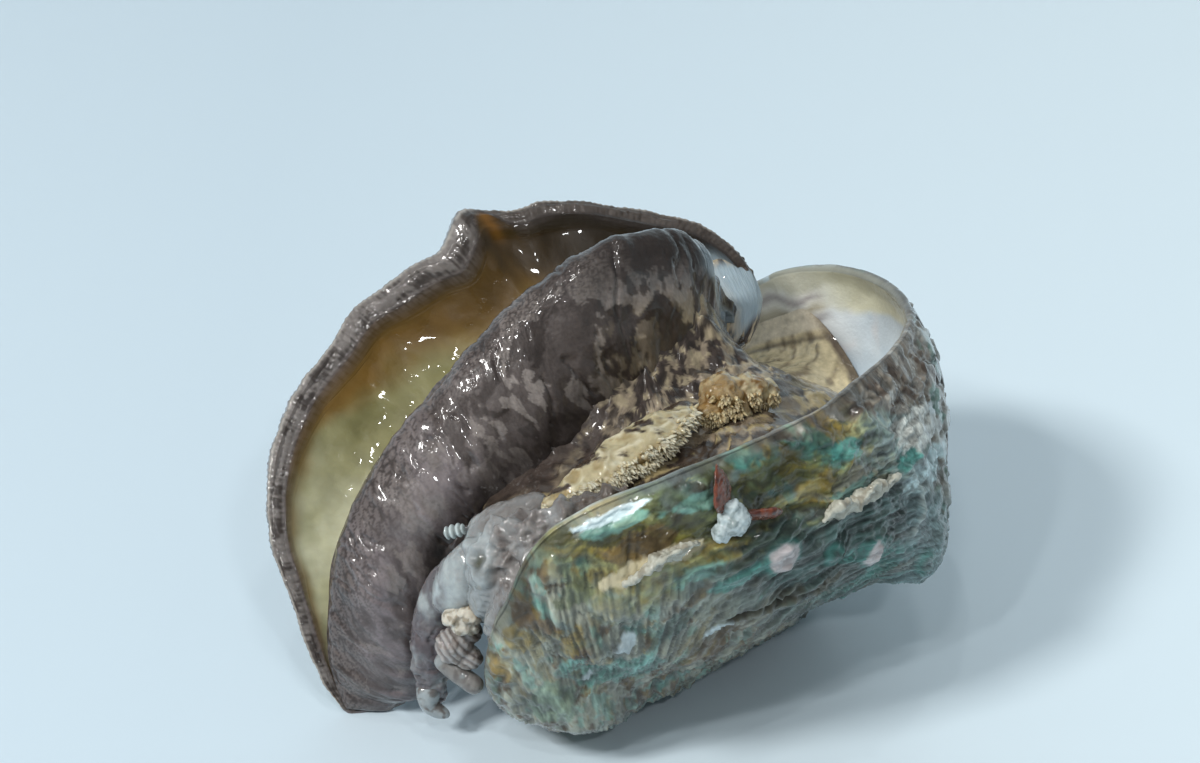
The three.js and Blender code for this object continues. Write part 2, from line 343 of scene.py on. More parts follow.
def foot_skin(rise, share):
    """The foot's skin with both ends rounded off."""
    inward = np.clip(np.minimum(rise, 1 - rise) / FOOT.end_share, 0, 1)
    size = np.sqrt(1 - (1 - inward) ** 2)[..., None]
    middle = sum(foot_section(rise, np.float64(i / 8)) for i in range(8)) / 8
    return on_floor(mix(middle, foot_section(rise, share), size))


# ---- the soft body in the shell ----


def fill_height(along, across):
    """How high the soft body stands in the bowl, over the lip's level."""
    return 6 - 4.5 * along - 12 * np.maximum(across, -0.35) - 2.5 * smooth(along, 0.3, 0.7)


def fill_reach(turn):
    """How far out the soft body goes: less at the right side towards the tail, where the nacre shows."""
    degrees = np.degrees(turn) % 360
    return 0.97 - 0.26 * smooth(degrees, 2, 20) * below(degrees, 80, 100)


# ---- colours and places on the shell ----


def srgb(*channels):
    """A colour as seen on a screen, 0 to 255, in the linear values that the shaders take."""
    c = np.array(channels, float) / 255
    return np.where(c <= 0.04045, c / 12.92, ((c + 0.055) / 1.055) ** 2.4)


def linear(tint):
    """A tint given as three screen values, or already linear."""
    return srgb(*tint) if isinstance(tint, tuple) else tint


def paint(colour, *layers):
    """The colour with tints laid over it in turn, each with its share."""
    for tint, share in layers:
        colour = colour + (linear(tint) - colour) * np.asarray(share)[..., None]
    return colour


def coat(places, base, *layers):
    """One colour all over the places, with tints laid over it in turn."""
    return paint(np.zeros(places.shape[:-1] + (3,)) + linear(base), *layers)


SPIRE = np.array([0.3, 0.56])  # where the growth lines run together, as shares of the half sizes
ROUND_LENGTH, ROUND_WIDTH = 36, 25  # the half sizes, rounded, that the growth lines are spaced by


def growth(along, across):
    """1 at the lip, falling to 0 at the spire along rings of the lip's own outline."""
    low, high = np.full(along.shape, 1e-3), np.full(along.shape, 1.2)
    for _ in range(16):
        ring = (low + high) / 2
        x = np.abs(SPIRE[0] + (along - SPIRE[0]) / ring)
        y = np.abs(SPIRE[1] + (across - SPIRE[1]) / ring)
        outside = x**SHELL.squareness + y**SHELL.squareness > 1
        low, high = np.where(outside, ring, low), np.where(outside, high, ring)
    return (low + high) / 2


# The holes along the left side: turn in degrees, reach, radius, height.
HOLES = (
    (88, 0.60, 1.1, 0.7), (102.5, 0.693, 1.5, 1.2), (114, 0.77, 1.0, 0.5), (125, 0.836, 1.9, 1.3),
    (138, 0.888, 1.5, 0.7), (150, 0.915, 1.7, 0.9), (163, 0.915, 1.8, 0.9), (177, 0.90, 1.9, 0.8),
)


def shell_spots(turn, reach):
    """A place on the shell's outside, in its own axes."""
    return bowl(np.radians(turn), np.float64(reach))


# Lines on the head end fan out from below it: where they would meet, and the way up the middle one.
FAN_ROOT, FAN_UP = np.array([-26.8, -22.8, 26.9]), unit(np.array([-3, 24.4, -21.7]))
FAN_SIDE = unit(np.array([7.2, 6.4, 8.1]))


def fan_way(local):
    """Coordinates drawn out along the fan of lines."""
    away = local - FAN_ROOT
    bearing = np.arctan2(away @ FAN_SIDE, away @ FAN_UP)
    return np.stack([bearing * 56, np.linalg.norm(away, axis=-1) / 8, np.zeros(bearing.shape)], -1)


def shell_fields(turn, reach, local):
    """What the relief and the colours of the shell's outside are made from."""
    along, across = (value * reach for value in outline(turn))
    f = SimpleNamespace(turn=np.degrees(turn) % 360, reach=reach, local=local)
    f.ring = growth(along, across)
    f.arc = np.arctan2((SPIRE[0] - along) * ROUND_LENGTH, (across - SPIRE[1]) * ROUND_WIDTH) + np.pi / 2
    f.warp = rough(local / 9, 3, 3)
    # The rings lie closer together where the lip is near the spire, so fewer lines are counted there.
    span = np.hypot((along - SPIRE[0]) * ROUND_LENGTH, (across - SPIRE[1]) * ROUND_WIDTH) / f.ring
    f.steps = (f.ring - 1) * (0.25 + 0.75 * span / 48)
    f.ripple = f.steps * 34 + f.warp * 1.6 + 0.35 * rough(local / 2.6, 2, 4)
    f.lamella = np.mod(f.ripple, 1)
    # Coordinates stretched along the growth lines, for streaks.
    f.streak = np.stack([f.steps * 55 + f.warp * 2.2, f.arc * 9, np.zeros_like(f.ring) + 3], -1)
    f.from_lip = np.clip(1 - reach, 0, 1)
    f.tailside = below(f.turn, 76, 90)
    f.tailside[f.turn > 300] = 1
    f.headside = between(f.turn, 128, 160, 215, 250)
    f.holes = [np.linalg.norm(local - shell_spots(t, q), axis=-1) for t, q, _, _ in HOLES]
    f.fine = rough(f.streak * (0.6, 0.8, 1), 4, 41)
    straight = np.stack([f.steps * 36 + 0.9 * f.warp, f.arc * 5, np.zeros_like(f.ring)], -1)
    bent = 0.16 * rough(local / 1.6, 2, 43)[..., None]
    f.fan = fan_way(local) + 0.9 * f.warp[..., None]
    f.fanned = f.headside * smooth(f.reach, 0.6, 0.75) * below(f.reach, 0.975, 0.99)
    f.fanned = f.fanned * (1 - 0.6 * smooth(f.turn, 178, 192))
    f.lines = mix(ridged(straight + bent, 4, 45), ridged(f.fan + bent, 4, 49), f.fanned)
    f.flakes = rough(local / (5, 5, 3.6) + 0.4 * f.warp[..., None], 3, 47)
    f.row, f.crack, f.edge = (
        row_distance(local, np.array([shell_spots(*place[:2]) for place in places]))
        for places in (HOLES, CRACK, LAST_EDGE)
    )
    f.worn, f.chipped = patches(f, WORN, 320), patches(f, CHIPS, 330)
    return f


def row_distance(points, corners):
    """Distance to a chain of straight stretches."""
    best = np.full(points.shape[:-1], 1e9)
    for a, b in zip(corners, corners[1:]):
        way = b - a
        t = np.clip(((points - a) @ way) / (way @ way), 0, 1)
        best = np.minimum(best, np.linalg.norm(points - a - t[..., None] * way, axis=-1))
    return best


def shell_relief(f):
    """How far the shell's outside stands out, in millimetres."""
    local = f.local
    strength = 0.15 + 0.85 * clouds(local / 3.5, 8, -0.15, 0.35)
    steps = smooth(f.lamella, 0, 0.8) - smooth(f.lamella, 0.86, 1)
    height = 0.36 * strength * steps * (1 - 0.7 * f.fanned)
    ribs = np.sin(f.ripple * 2.3 * TAU + 2 * noise(local / 2, 5))
    height += (0.03 + 0.06 * f.headside * (1 - f.fanned)) * ribs
    height += 0.5 * (f.lines - 0.5) * (1 - 0.8 * f.tailside)
    lumps = 0.26 * (1 - 0.5 * f.headside) * rough(local / 2.4, 4, 31)
    height = height + 0.5 * rough(local / 7.5, 3, 21) + lumps
    # Low cords across the growth lines.
    height += 0.2 * np.sin(f.arc * 26 + 2.5 * f.warp) * smooth(f.ring, 0.35, 0.7)
    height += 0.4 * bell(f.row, 2.4)
    for distance, (_, _, radius, tall) in zip(f.holes, HOLES):
        height = height + tall * bell(distance, radius) - 0.5 * tall * bell(distance, radius * 0.3)
    # Peeling layers close to the lip.
    flakes = smooth(noise(f.streak * (0.16, 0.5, 1), 12), 0.0, 0.12)
    height += 0.3 * flakes * below(f.from_lip, 0.1, 0.22) * (1 - f.tailside)
    # Worn hollows with ragged edges, and chips that stand out.
    height = height - 0.3 * f.worn + 0.22 * f.chipped
    # A crack low on the side, and the edge of the last whorl at the tail.
    height = height - 0.55 * bell(f.crack, 0.35) + 0.3 * bell(f.crack - 0.7, 0.5)
    height += 0.45 * bell(f.edge, 0.4)
    whorl = smooth(f.turn + 2 * f.warp, 86, 83.5) * smooth(f.turn, 20, 60)
    height += 0.7 * whorl * smooth(reach_band(f.reach, 0.5, 0.92), 0, 0.6)
    layers = smooth(f.flakes, -0.04, 0.04) + smooth(f.flakes, 0.2, 0.25) - smooth(f.flakes, -0.3, -0.25)
    height *= 1 - 0.85 * f.tailside
    height += 0.3 * (layers - 0.5) * f.tailside * smooth(f.reach, 0.5, 0.7)
    # The head end is scaly.
    height += 0.06 * f.headside * cobbled(local / (2.6, 1.7, 2.6), 23, 0.5)
    height += 0.07 * rough(local / 0.6, 2, 25) * (1 - f.tailside)
    return height * (1 - 0.75 * smooth(f.reach, 0.996, 1))


def reach_band(reach, low, high):
    """1 between two reaches, with soft borders."""
    return between(reach, low - 0.08, low + 0.02, high - 0.02, high + 0.08)


TEAL, TURQUOISE, JADE = srgb(54, 86, 82), srgb(72, 134, 126), srgb(112, 164, 154)
OLIVE, OCHRE, MOSS = srgb(94, 92, 46), srgb(128, 110, 54), srgb(78, 88, 58)
STONE, PALE, BROWN = srgb(84, 96, 92), srgb(140, 150, 144), srgb(88, 70, 46)
CREAM, UMBER, PEARL = srgb(196, 186, 156), srgb(42, 38, 28), srgb(192, 184, 184)
CHALK, CHIP, DEEP = srgb(138, 142, 134), srgb(180, 194, 198), srgb(46, 66, 62)

# Patches: turn in degrees, reach, half length along the growth lines, half width, colour, share.
STAINS = (
    (147, 0.99, 3.4, 0.9, JADE, 0.6), (131, 0.983, 3.2, 0.9, JADE * 0.8, 0.6),
    (113, 0.975, 6, 1.6, OLIVE, 0.7), (99, 0.968, 3.8, 1.0, TURQUOISE, 0.9),
    (108, 0.945, 2.4, 1.5, OCHRE * 0.8, 0.6), (88, 0.885, 2.4, 1.3, TURQUOISE, 0.9),
    (92, 0.81, 1.6, 2.2, DEEP, 0.8), (122, 0.885, 4, 1.8, DEEP, 0.8),
    (84, 0.925, 3.8, 2.2, (198, 202, 196), 0.95), (84.5, 0.7, 4, 3, (124, 146, 148), 0.7),
    (80.5, 0.84, 5, 1.8, (176, 200, 204), 0.85), (107, 0.965, 2.6, 0.9, MOSS * 0.9, 0.6),
    (126, 0.95, 3.2, 0.9, OLIVE * 0.8, 0.6), (100, 0.9, 4.5, 0.7, (88, 128, 124), 0.8),
    (143.5, 0.885, 2.4, 1.2, JADE * 0.8, 0.6), (134, 0.83, 4, 1.1, TURQUOISE, 0.7),
    (146, 0.962, 3.6, 1.5, BROWN, 0.7), (177, 0.775, 1.9, 1.0, JADE, 0.7),
    (180, 0.905, 1.5, 0.7, JADE, 0.9), (175.5, 0.928, 2.4, 1.0, OCHRE, 0.8),
    (181, 0.985, 1.8, 1.5, OCHRE * 0.9, 0.7), (196, 0.92, 3.4, 2.6, (112, 136, 118), 0.7),
    (162, 0.8, 3, 1.2, TEAL, 0.6), (165, 0.96, 2, 1.2, MOSS, 0.7), (110, 0.5, 7, 1.5, JADE * 0.7, 0.5),
)
WORN = ((97, 0.925, 4.8, 1.9), (84, 0.955, 3.2, 2.3), (148, 0.994, 3, 0.5))
CHIPS = ((170, 0.853, 1.7, 0.8), (156, 0.7, 2.2, 0.45), (184, 0.86, 1.1, 0.5), (75, 0.93, 1.5, 0.5))
RIDGES = ((142, 0.935, 2.4, 0.9), (152, 0.94, 2.6, 0.8))
CRACK = ((149, 0.72), (141, 0.69), (132, 0.655), (122, 0.63))
LAST_EDGE = ((88.5, 0.87), (86.5, 0.8), (87.5, 0.745), (90, 0.7))


def patch(f, turn, reach, long, wide, seed):
    """How much a ragged patch, drawn out along the growth lines, covers each place."""
    spot = shell_spots(turn, reach)
    way = unit(shell_spots(turn + 2, reach) - spot)
    offset = f.local - spot
    along = offset @ way
    across = np.linalg.norm(offset - along[..., None] * way, axis=-1)
    edge = 0.5 * f.fine + 0.5 * rough(f.local / 1.4, 3, seed)
    return smooth(1 + edge - np.hypot(along / long, across / wide), -0.1, 0.14)


def patches(f, table, seed):
    """The most that any of the patches covers each place."""
    return np.max([patch(f, *row, seed + i) for i, row in enumerate(table)], axis=0)


def shell_colour(f):
    """The shell's outside: grey green, olive and ochre near the lip, turquoise where it is worn."""
    local, fine = f.local, f.fine
    head = f.headside
    broad = rough(f.streak * (0.12, 0.35, 1), 3, 44)
    blot = rough(local / 5, 4, 51)
    spot = rough(local / 1.7, 3, 55)
    drawn = f.fan * (0.22, 0.8, 1) + 0.5 * blot[..., None]
    band = below(f.from_lip, 0.07, 0.16) * smooth(f.turn, 70, 84) * below(f.turn, 150, 168)
    thread = rough(f.streak * (0.7, 1.1, 1) + 0.5 * spot[..., None], 3, 75)
    jade = rough(f.streak * (0.1, 0.6, 1), 4, 71) + 0.2 * spot
    right = smooth(f.turn, 98, 84) * (f.turn < 180)
    tail = f.tailside * smooth(f.reach, 0.6, 0.9)
    colour = coat(
        local, STONE * 1.15,
        (TEAL, 0.75 * smooth(blot + 0.25 * fine, -0.3, 0.25)),
        ((104, 98, 80), 0.7 * smooth(broad + 0.3 * spot, 0.02, 0.35)),
        ((140, 141, 126), 0.85 * head * smooth(blot, -0.7, -0.1)),
        (BROWN, 0.9 * head * smooth(rough(drawn, 4, 61), 0.04, 0.2)),
        (OCHRE * 0.9, 0.5 * head * smooth(rough(drawn * 1.3, 4, 63), 0.14, 0.28)),
        (JADE * 0.95, 0.45 * head * smooth(rough(drawn * 1.2, 4, 65), 0.2, 0.36)),
        (MOSS, band * smooth(fine, -0.5, -0.05)),
        (OLIVE, band * smooth(broad + 0.5 * fine, -0.2, 0.2)),
        (OCHRE, band * 0.9 * smooth(broad + 0.9 * fine, 0.12, 0.34)),
        ((52, 54, 34), band * 0.75 * smooth(thread, 0.14, 0.26)),
        ((150, 152, 104), band * 0.6 * smooth(-thread, 0.2, 0.34)),
        (TURQUOISE, 0.7 * smooth(jade - 0.06 * band, 0.26, 0.42)),
        (CHALK, 0.8 * f.worn * (0.75 + 0.5 * spot)),
        (PALE, 0.55 * smooth(fine, 0.3, 0.5) * (0.4 + 0.6 * smooth(spot, -0.2, 0.3))),
        (UMBER, 0.7 * smooth(-fine + 0.25 * spot, 0.26, 0.5) * (0.5 + 0.5 * band)),
        ((158, 186, 190), 0.72 * right * (1 - f.tailside)),
        ((120, 114, 106), tail * 0.85),
        ((62, 57, 52), tail * smooth(-f.flakes, 0.05, 0.12) * 0.85),
        ((164, 170, 166), tail * smooth(f.flakes, 0.18, 0.22) * 0.8),
        (TURQUOISE, tail * clouds(local / 3.5, 73, 0.22, 0.34) * 0.5),
    )
    for i, (turn, reach, long, wide, tint, share) in enumerate(STAINS):
        colour = paint(colour, (tint, share * patch(f, turn, reach, long, wide, 300 + i)))
    depth = 0.002 + 0.042 * below(f.turn, 80, 98) + 0.01 * spot
    flaky = between(f.turn, 60, 70, 106, 122)
    flaky = flaky * below(f.from_lip - depth, -0.006, 0.006)
    colour = paint(
        colour,
        ((122, 113, 102), flaky * 0.9),
        ((72, 60, 52), flaky * 0.8 * smooth(fine + 0.4 * spot, 0.06, 0.22)),
        ((170, 168, 160), flaky * 0.7 * smooth(-fine + 0.5 * spot, 0.2, 0.36)),
    )
    shade = mix(0.5 + 1.05 * smooth(f.lines, 0.1, 0.9), 1.05, 0.75 * f.tailside)
    shade = shade * (1 - 0.28 * smooth(-f.reach, -0.84, -0.76) * (1 - f.tailside))
    # Painted highlight: a pale blue white gloss streak along the lip near the head end.
    colour = paint(colour, ((196, 212, 216), 0.9 * patch(f, 145, 0.996, 4.6, 0.5, 330)))
    colour = colour * shade[..., None]
    step = between(f.lamella, 0.78, 0.9, 0.95, 1) * (1 - f.headside)
    colour = paint(colour, (colour * 0.45, 0.8 * step * smooth(f.ring, 0.3, 0.6)))
    for (turn, reach, radius, tall), distance in zip(HOLES, f.holes):
        colour = paint(colour, (TURQUOISE, (0.6 if turn < 130 else 0.15) * bell(distance - radius, 0.4)))
        pearl = smooth(radius * 0.95 - distance - 0.5 * spot, -0.15, 0.3) * (tall > 0.8)
        colour = paint(colour, (PEARL if 92 < turn < 130 else PALE, (0.9 if turn < 130 else 0.25) * pearl))
    return paint(
        colour,
        (CREAM, 0.85 * patches(f, RIDGES, 340)),
        (CHIP, 0.95 * f.chipped),
        (UMBER, 0.85 * bell(f.crack, 0.3)),
        ((172, 186, 184), 0.8 * bell(f.edge, 0.3)),
    )


SHELL_TURNS, SHELL_ROWS, LIP_ROWS, INNER_ROWS = 760, 190, 7, 80


def even_turns(count):
    """Turns that divide the lip into equal stretches."""
    turn = np.linspace(0, TAU, 6001)
    x, y = outline(turn)
    steps = np.hypot(np.diff(x) * SHELL.half_length, np.diff(y) * SHELL.half_width)
    length = running(steps)
    return np.interp(np.arange(count) / count * length[-1], length, turn)


def skin_normals(points, inside):
    """Normals of a skin that closes on itself sideways, away from the point inside."""
    sideways = np.roll(points, -1, 1) - np.roll(points, 1, 1)
    upward = np.gradient(points, axis=0)
    normal = unit(np.cross(sideways, upward))
    return normal * np.sign(dot(normal, points - inside))


def corner_lift(turn, reach):
    """The lip stands up at the corner by the head."""
    near = bell(np.degrees(turn) % 360 - 160, 20) * smooth(reach, 0.8, 1)
    return near[..., None] * (-1.9, 0, 1.3)


def shell_skin():
    """The shell's outside, its rounded lip and its inside, row by row, with its colours."""
    turn = even_turns(SHELL_TURNS)[None, :]
    reach = np.sin(np.linspace(0.004, 1, SHELL_ROWS) * np.pi / 2)[:, None]
    turns, reaches = np.broadcast_arrays(turn, reach)
    local = bowl(turns, reaches)
    fields = shell_fields(turns, reaches, local)
    relief = shell_relief(fields)
    outside = stand_up(local)
    normal = skin_normals(outside, SHELL.centre)
    outside = outside + normal * relief[..., None] + corner_lift(turns, reaches)
    colour = shell_colour(fields)

    inner_reach = np.sin(np.linspace(1, 0.004, INNER_ROWS) * np.pi / 2)[:, None]
    turns_in, inner = np.broadcast_arrays(turn, inner_reach)
    inside = stand_up(bowl(turns_in, inner, SHELL.wall)) + corner_lift(turns_in, inner)
    inside = inside + SHELL.inward * 0.35 * rough(bowl(turns_in, inner) / 9, 3, 91)[..., None]

    top, below = outside[-1], inside[0]
    middle, half = (top + below) / 2, (top - below) / 2
    a = np.linspace(0, np.pi, LIP_ROWS + 2)[1:-1, None, None]
    edge = 0.5 + 0.12 * noise(local[-1] / 3.2, 95)
    lip = middle + np.cos(a) * half - SHELL.inward * np.sin(a) * edge[..., None]
    points = on_floor(np.concatenate([outside, lip, inside]))
    lip_colour, inner_colour = lining_colours(turn, inner_reach, local[-1])
    over = smooth(np.arange(LIP_ROWS)[:, None] / LIP_ROWS, 0.1, 0.6)
    lip_rows = paint(colour[-1:], (lip_colour[None], 0.2 + 0.8 * over))
    fade = smooth(reaches + 0.0004 * fields.fine, 0.9975, 0.9997)
    colour = paint(colour, (lip_colour[None], fade * 0.25))
    colour = np.concatenate([colour, lip_rows, inner_colour])
    return points, colour, fields


def lining_colours(turn, reach, rim):
    """The pale lip, and the nacre inside it with an olive border."""
    degrees = np.degrees(turn[0]) % 360
    streak = rough(rim / 2.2, 3, 97)
    far = 1 - smooth(np.abs((degrees + 180) % 360 - 180), 40, 70)
    lip = coat(
        rim, (142, 144, 136),
        ((96, 88, 76), smooth(streak, -0.15, 0.25) * (0.8 - 0.6 * far)),
        ((158, 160, 146), far * 0.6),
        ((104, 96, 82), below(degrees, 112, 128) * smooth(degrees, 40, 60) * 0.8),
        ((178, 192, 196), smooth(degrees, 118, 135) * smooth(streak, -0.4, 0.1)),
        ((96, 96, 70), between(degrees, 150, 160, 320, 350)),
    )
    turns, reaches = np.broadcast_arrays(turn, reach)
    local = bowl(turns, reaches)
    wave = rough(local / 8, 3, 99)
    edge = reaches + 0.02 * wave
    around = (np.degrees(turns) + 180) % 360 - 180
    right = smooth(around, 2, 20)
    left = below(around, 5, 11)
    colour = coat(
        local, (170, 190, 205),
        ((204, 216, 224), smooth(wave, 0, 0.4) * 0.6),
        ((204, 190, 190), smooth(rough(local / 5, 2, 98), 0.15, 0.4) * 0.4),
        ((246, 248, 246), smooth(edge, 0.86, 0.92) * 0.85 * (1 - 0.6 * right)),
        ((222, 214, 170), (0.2 + 0.5 * right) * smooth(edge, 0.955, 0.97)),
    )
    # Bands just inside the far lip, from the lip inward: lavender, tan, and a dark line that is painted
    # shadow under the tan band.
    lines = (
        (0.984, 0.006, (136, 126, 128)), (0.966, 0.008, (150, 138, 104)), (0.949, 0.007, (112, 100, 96)),
    )
    for place, width, tint in lines:
        colour = paint(colour, (tint, left * bell(edge - place, width) * 0.75))
    colour = paint(colour, ((176, 174, 150), smooth(edge, 0.988, 0.998) * 0.7))
    return lip, colour


# ---- the foot ----

FOOT_ROWS = 430
# Start, end and columns of each stretch of a section.
FOOT_STRETCHES = (
    (0, OVER_RIM, 44), (OVER_RIM, OVER_SOLE, 78), (OVER_SOLE, OVER_CREST, 26), (OVER_CREST, DOWN_SIDE, 96),
    (DOWN_SIDE, UNDER, 22), (UNDER, 1, 44),
)


def foot_shares():
    """Where the columns lie on a section of the foot: closest on the rim, the crest and the near side."""
    parts = [np.linspace(a, b, count, endpoint=False) for a, b, count in FOOT_STRETCHES]
    return np.concatenate(parts)


def foot_fields():
    """Places of the foot's skin, and what its relief and its colours are made from."""
    share = foot_shares()[None, :]
    rise = np.linspace(0.0015, 0.9985, FOOT_ROWS)[:, None]
    rises, shares = np.broadcast_arrays(rise, share)
    f = SimpleNamespace(rise=rises, share=shares, points=foot_skin(rises, shares))
    f.mm = rises * CREST.length
    down = np.linalg.norm(f.points - np.roll(f.points, 1, 1), axis=-1)
    f.down = np.cumsum(down, axis=1)
    thin = 0.045 * bell(rises - 0.638, 0.014)
    f.rim = below(shares + thin, 0.085, 0.105) + smooth(shares, 0.95, 0.985)
    f.sole = smooth(shares + thin, 0.095, 0.11) * below(shares, 0.385, 0.405)
    f.across_sole = np.clip((shares - OVER_RIM) / (OVER_SOLE - OVER_RIM), 0, 1)
    f.side = between(shares, 0.40, 0.43, 0.66, 0.7)
    f.back = between(shares, 0.7, 0.76, 0.95, 0.985)
    f.ends = smooth(rises, 0, 0.03) * smooth(1 - rises, 0, 0.03)
    return foot_patterns(f)


def foot_patterns(f):
    """Values that the foot's relief and its colours share."""
    p = f.points
    flat = lambda along, down: np.stack([f.mm / along, f.down / down, 0 * f.mm], -1)
    f.spot = rough(p / 1.6, 3, 121)
    f.pleats = np.sin(f.mm * TAU / 0.62 + 3 * noise(p / 2.5, 103))
    fine, coarse = cobbled(flat(0.55, 0.6), 113, 0.4), cobbled(flat(0.95, 0.85), 114, 0.4)
    f.pebble = mix(fine, coarse, below(f.rise, 0.3, 0.5))
    f.near_crest = below(f.share, 0.455, 0.56)
    warp = 0.45 * rough(p / 6, 3, 123)[..., None]
    f.dark = rough(flat(6.5, 8) + warp, 4, 125)
    f.light = rough(flat(3.4, 8) + warp * 1.4 + 5, 4, 127)
    f.creases = ridged(flat(4.2, 13), 3, 115)
    f.lumps = rough(flat(5, 9), 3, 117)
    return f


def foot_relief(f):
    """How far the foot's skin stands out, in millimetres."""
    p = f.points
    height = 0.45 * rough(p / 9, 3, 101) * (1 - 0.6 * f.sole)
    # The rim: fine pleats across it, a crease along it, and a wavy edge.
    wave = noise(np.stack([f.mm / 3.1] * 3, -1), 105)
    height += f.rim * (0.05 * f.pleats + 0.14 * wave + 0.08 * rough(p / 1.1, 2, 106))
    height = height + 0.22 * bell(f.share - 0.048, 0.008) - 0.35 * bell(f.share - 0.1, 0.006)
    height += 0.3 * bell(f.share - 0.408, 0.008)
    knobs = pebbles(p / 1.9, 107)[0]
    height += 0.6 * smooth(0.42 - knobs, 0, 0.3) * f.back * smooth(f.share, 0.85, 0.95)
    # The sole is smooth, with soft dents.
    height += f.sole * (0.4 * rough(p / 6, 2, 109) + 0.05 * rough(p / 1.2, 2, 111))
    # The side: pebbled near the crest, with creases running down it.
    height += f.side * 0.045 * f.pebble * (0.3 + 0.7 * f.near_crest)
    height -= f.side * 0.4 * smooth(f.creases, 0.76, 0.98)
    height += f.side * 0.6 * f.lumps
    return height * f.ends


# How far the rim is pushed out or in: rise, spread, millimetres.
RIM_BENDS = ((0.47, 0.035, 1.1), (0.578, 0.024, -1.4), (0.625, 0.015, 0.9), (0.672, 0.018, -0.6))


def rim_bends(f):
    """The rim's bends, with the sole and the back that hang on it."""
    tip = int(np.argmin(np.abs(f.share[0] - 0.05)))
    inner = int(np.argmin(np.abs(f.share[0] - 0.27)))
    outward = unit(f.points[:, tip] - f.points[:, inner])
    push = sum(size * bell(f.rise[:, 0] - rise, spread) for rise, spread, size in RIM_BENDS)
    hold = 1 - smooth(f.share, 0.1, 0.3) + smooth(f.share, 0.84, 0.97)
    return (push[:, None] * hold)[..., None] * outward[:, None]


def skin_colour(f):
    """Dark, mottled skin: grey patches on brown black, cracked like leather near the crest."""
    high = smooth(f.rise, 0.3, 0.6)
    light = smooth(f.light + 0.12 * f.spot, 0.09, 0.12) * (1 - 0.5 * f.near_crest)
    crack = below(f.pebble, 0, 0.5) * (0.2 + 0.65 * f.near_crest)
    base = smooth(f.rise, 0.6, 0.78) * smooth(f.share, 0.55, 0.6)
    # wet: where a painted blue grey sheen of the water running down the side is laid on, near the tail.
    wet = smooth(f.rise, 0.79, 0.82) * smooth(f.share, 0.465, 0.49) * below(f.share, 0.52, 0.54)
    return coat(
        f.points, (91, 85, 86),
        ((120, 112, 110), 0.8 * bell(f.rise - 0.42, 0.14)),
        ((82, 74, 70), high * 0.85 * (1 - 0.5 * f.near_crest)),
        ((54, 47, 44), smooth(f.dark + 0.2 * f.spot, 0.03, 0.09) * (0.4 + 0.5 * high)),
        ((146, 138, 133), light * (0.35 + 0.6 * high)),
        ((128, 120, 124), 0.5 * (1 - high) * smooth(f.lumps, 0.05, 0.3)),
        ((86, 77, 73), f.near_crest * 0.5),
        ((44, 38, 35), smooth(f.rise, 0.58, 0.72) * below(f.share, 0.51, 0.58) * 0.9),
        ((40, 35, 33), smooth(f.share, 0.56, 0.64) * smooth(f.rise, 0.2, 0.3) * 0.75),
        ((44, 37, 35), crack),
        ((160, 146, 120), base * smooth(f.light + 0.3 * f.spot, -0.02, 0.05) * 0.9),
        ((66, 56, 47), base * smooth(f.dark + 0.2 * f.spot, 0.05, 0.12)),
        # Painted sheen: the blue grey reflection of the water, on the side near the tail.
        ((118, 132, 140), 0.85 * wet),
        # Painted sheen of the water in the hollow at the tail.
        ((150, 167, 176), painted_tail_sheen(f)),
    )


def painted_tail_sheen(f):
    """Where a painted blue grey sheen of water lies, in the smooth hollow behind the crest at the tail."""
    return smooth(f.rise, 0.8, 0.86) * smooth(f.share, 0.775, 0.8) * below(f.share, 0.88, 0.905)


def sole_colour(f):
    """Yellow green, cream near the crest, amber and brown up the far wall, the brown partly painted shade.
    """
    a = f.across_sole
    up = smooth(f.rise, 0.3, 0.75)
    edge = a + 0.06 * rough(f.points / 8, 3, 131)
    amber = below(edge, 0.01 + 0.2 * up, 0.1 + 0.48 * up)
    sole = coat(
        f.points, (198, 198, 174),
        ((186, 184, 146), 0.5 * clouds(f.points / 6, 130, -0.2, 0.3)),
        ((110, 106, 64), smooth(f.rise, 0.14, 0.4) * 0.95),
        ((200, 200, 180), smooth(a, 0.88, 0.98) * (1 - up)),
        ((122, 88, 34), amber * 0.85),
        # Dark brown high on the far wall: partly its own colour, partly painted shade under the folded rim.
        ((32, 24, 13), amber * up * below(edge, 0.1, 0.44) * 0.97),
        ((130, 88, 30), 0.5 * bell(f.rise - 0.638, 0.008) * below(a, 0.0, 0.06)),
    )
    sole = paint(sole, (sole * 0.88, 0.6 * clouds(f.points / 4, 133, 0.1, 0.5)))
    # Painted sheen: the blue grey reflection of the water at the sole's tail end.
    return paint(sole, ((150, 167, 176), smooth(f.rise, 0.88, 0.93)))


def rim_colour(f):
    """Grey, mottled and darker over the pleats."""
    mottle = rough(f.points / 2, 3, 135) + 0.2 * f.pleats
    return coat(
        f.points, (106, 101, 98),
        ((60, 54, 51), smooth(mottle, -0.05, 0.3)),
        ((62, 54, 48), smooth(f.rise, 0.6, 0.66) * 0.7),
        # Painted highlight: a thin pale line along the middle of the rim.
        ((160, 156, 150), 0.8 * bell(f.share - 0.05, 0.004) * smooth(mottle, -0.5, 0)),
        ((46, 38, 30), bell(f.share - 0.101, 0.006)),
    )


def foot_colour(f):
    """The skin, the sole and the rim put together."""
    colour = skin_colour(f) * (1 - f.sole)[..., None] + sole_colour(f) * f.sole[..., None]
    low_down = below(f.rise, 0.35, 0.6)
    return paint(
        colour,
        (rim_colour(f), np.clip(f.rim, 0, 1)),
        ((66, 60, 58), below(f.rise, 0.008, 0.024)),
        ((168, 162, 144), (0.25 + 0.6 * low_down) * bell(f.share - 0.4, 0.005)),
    )


# ---- the soft body ----

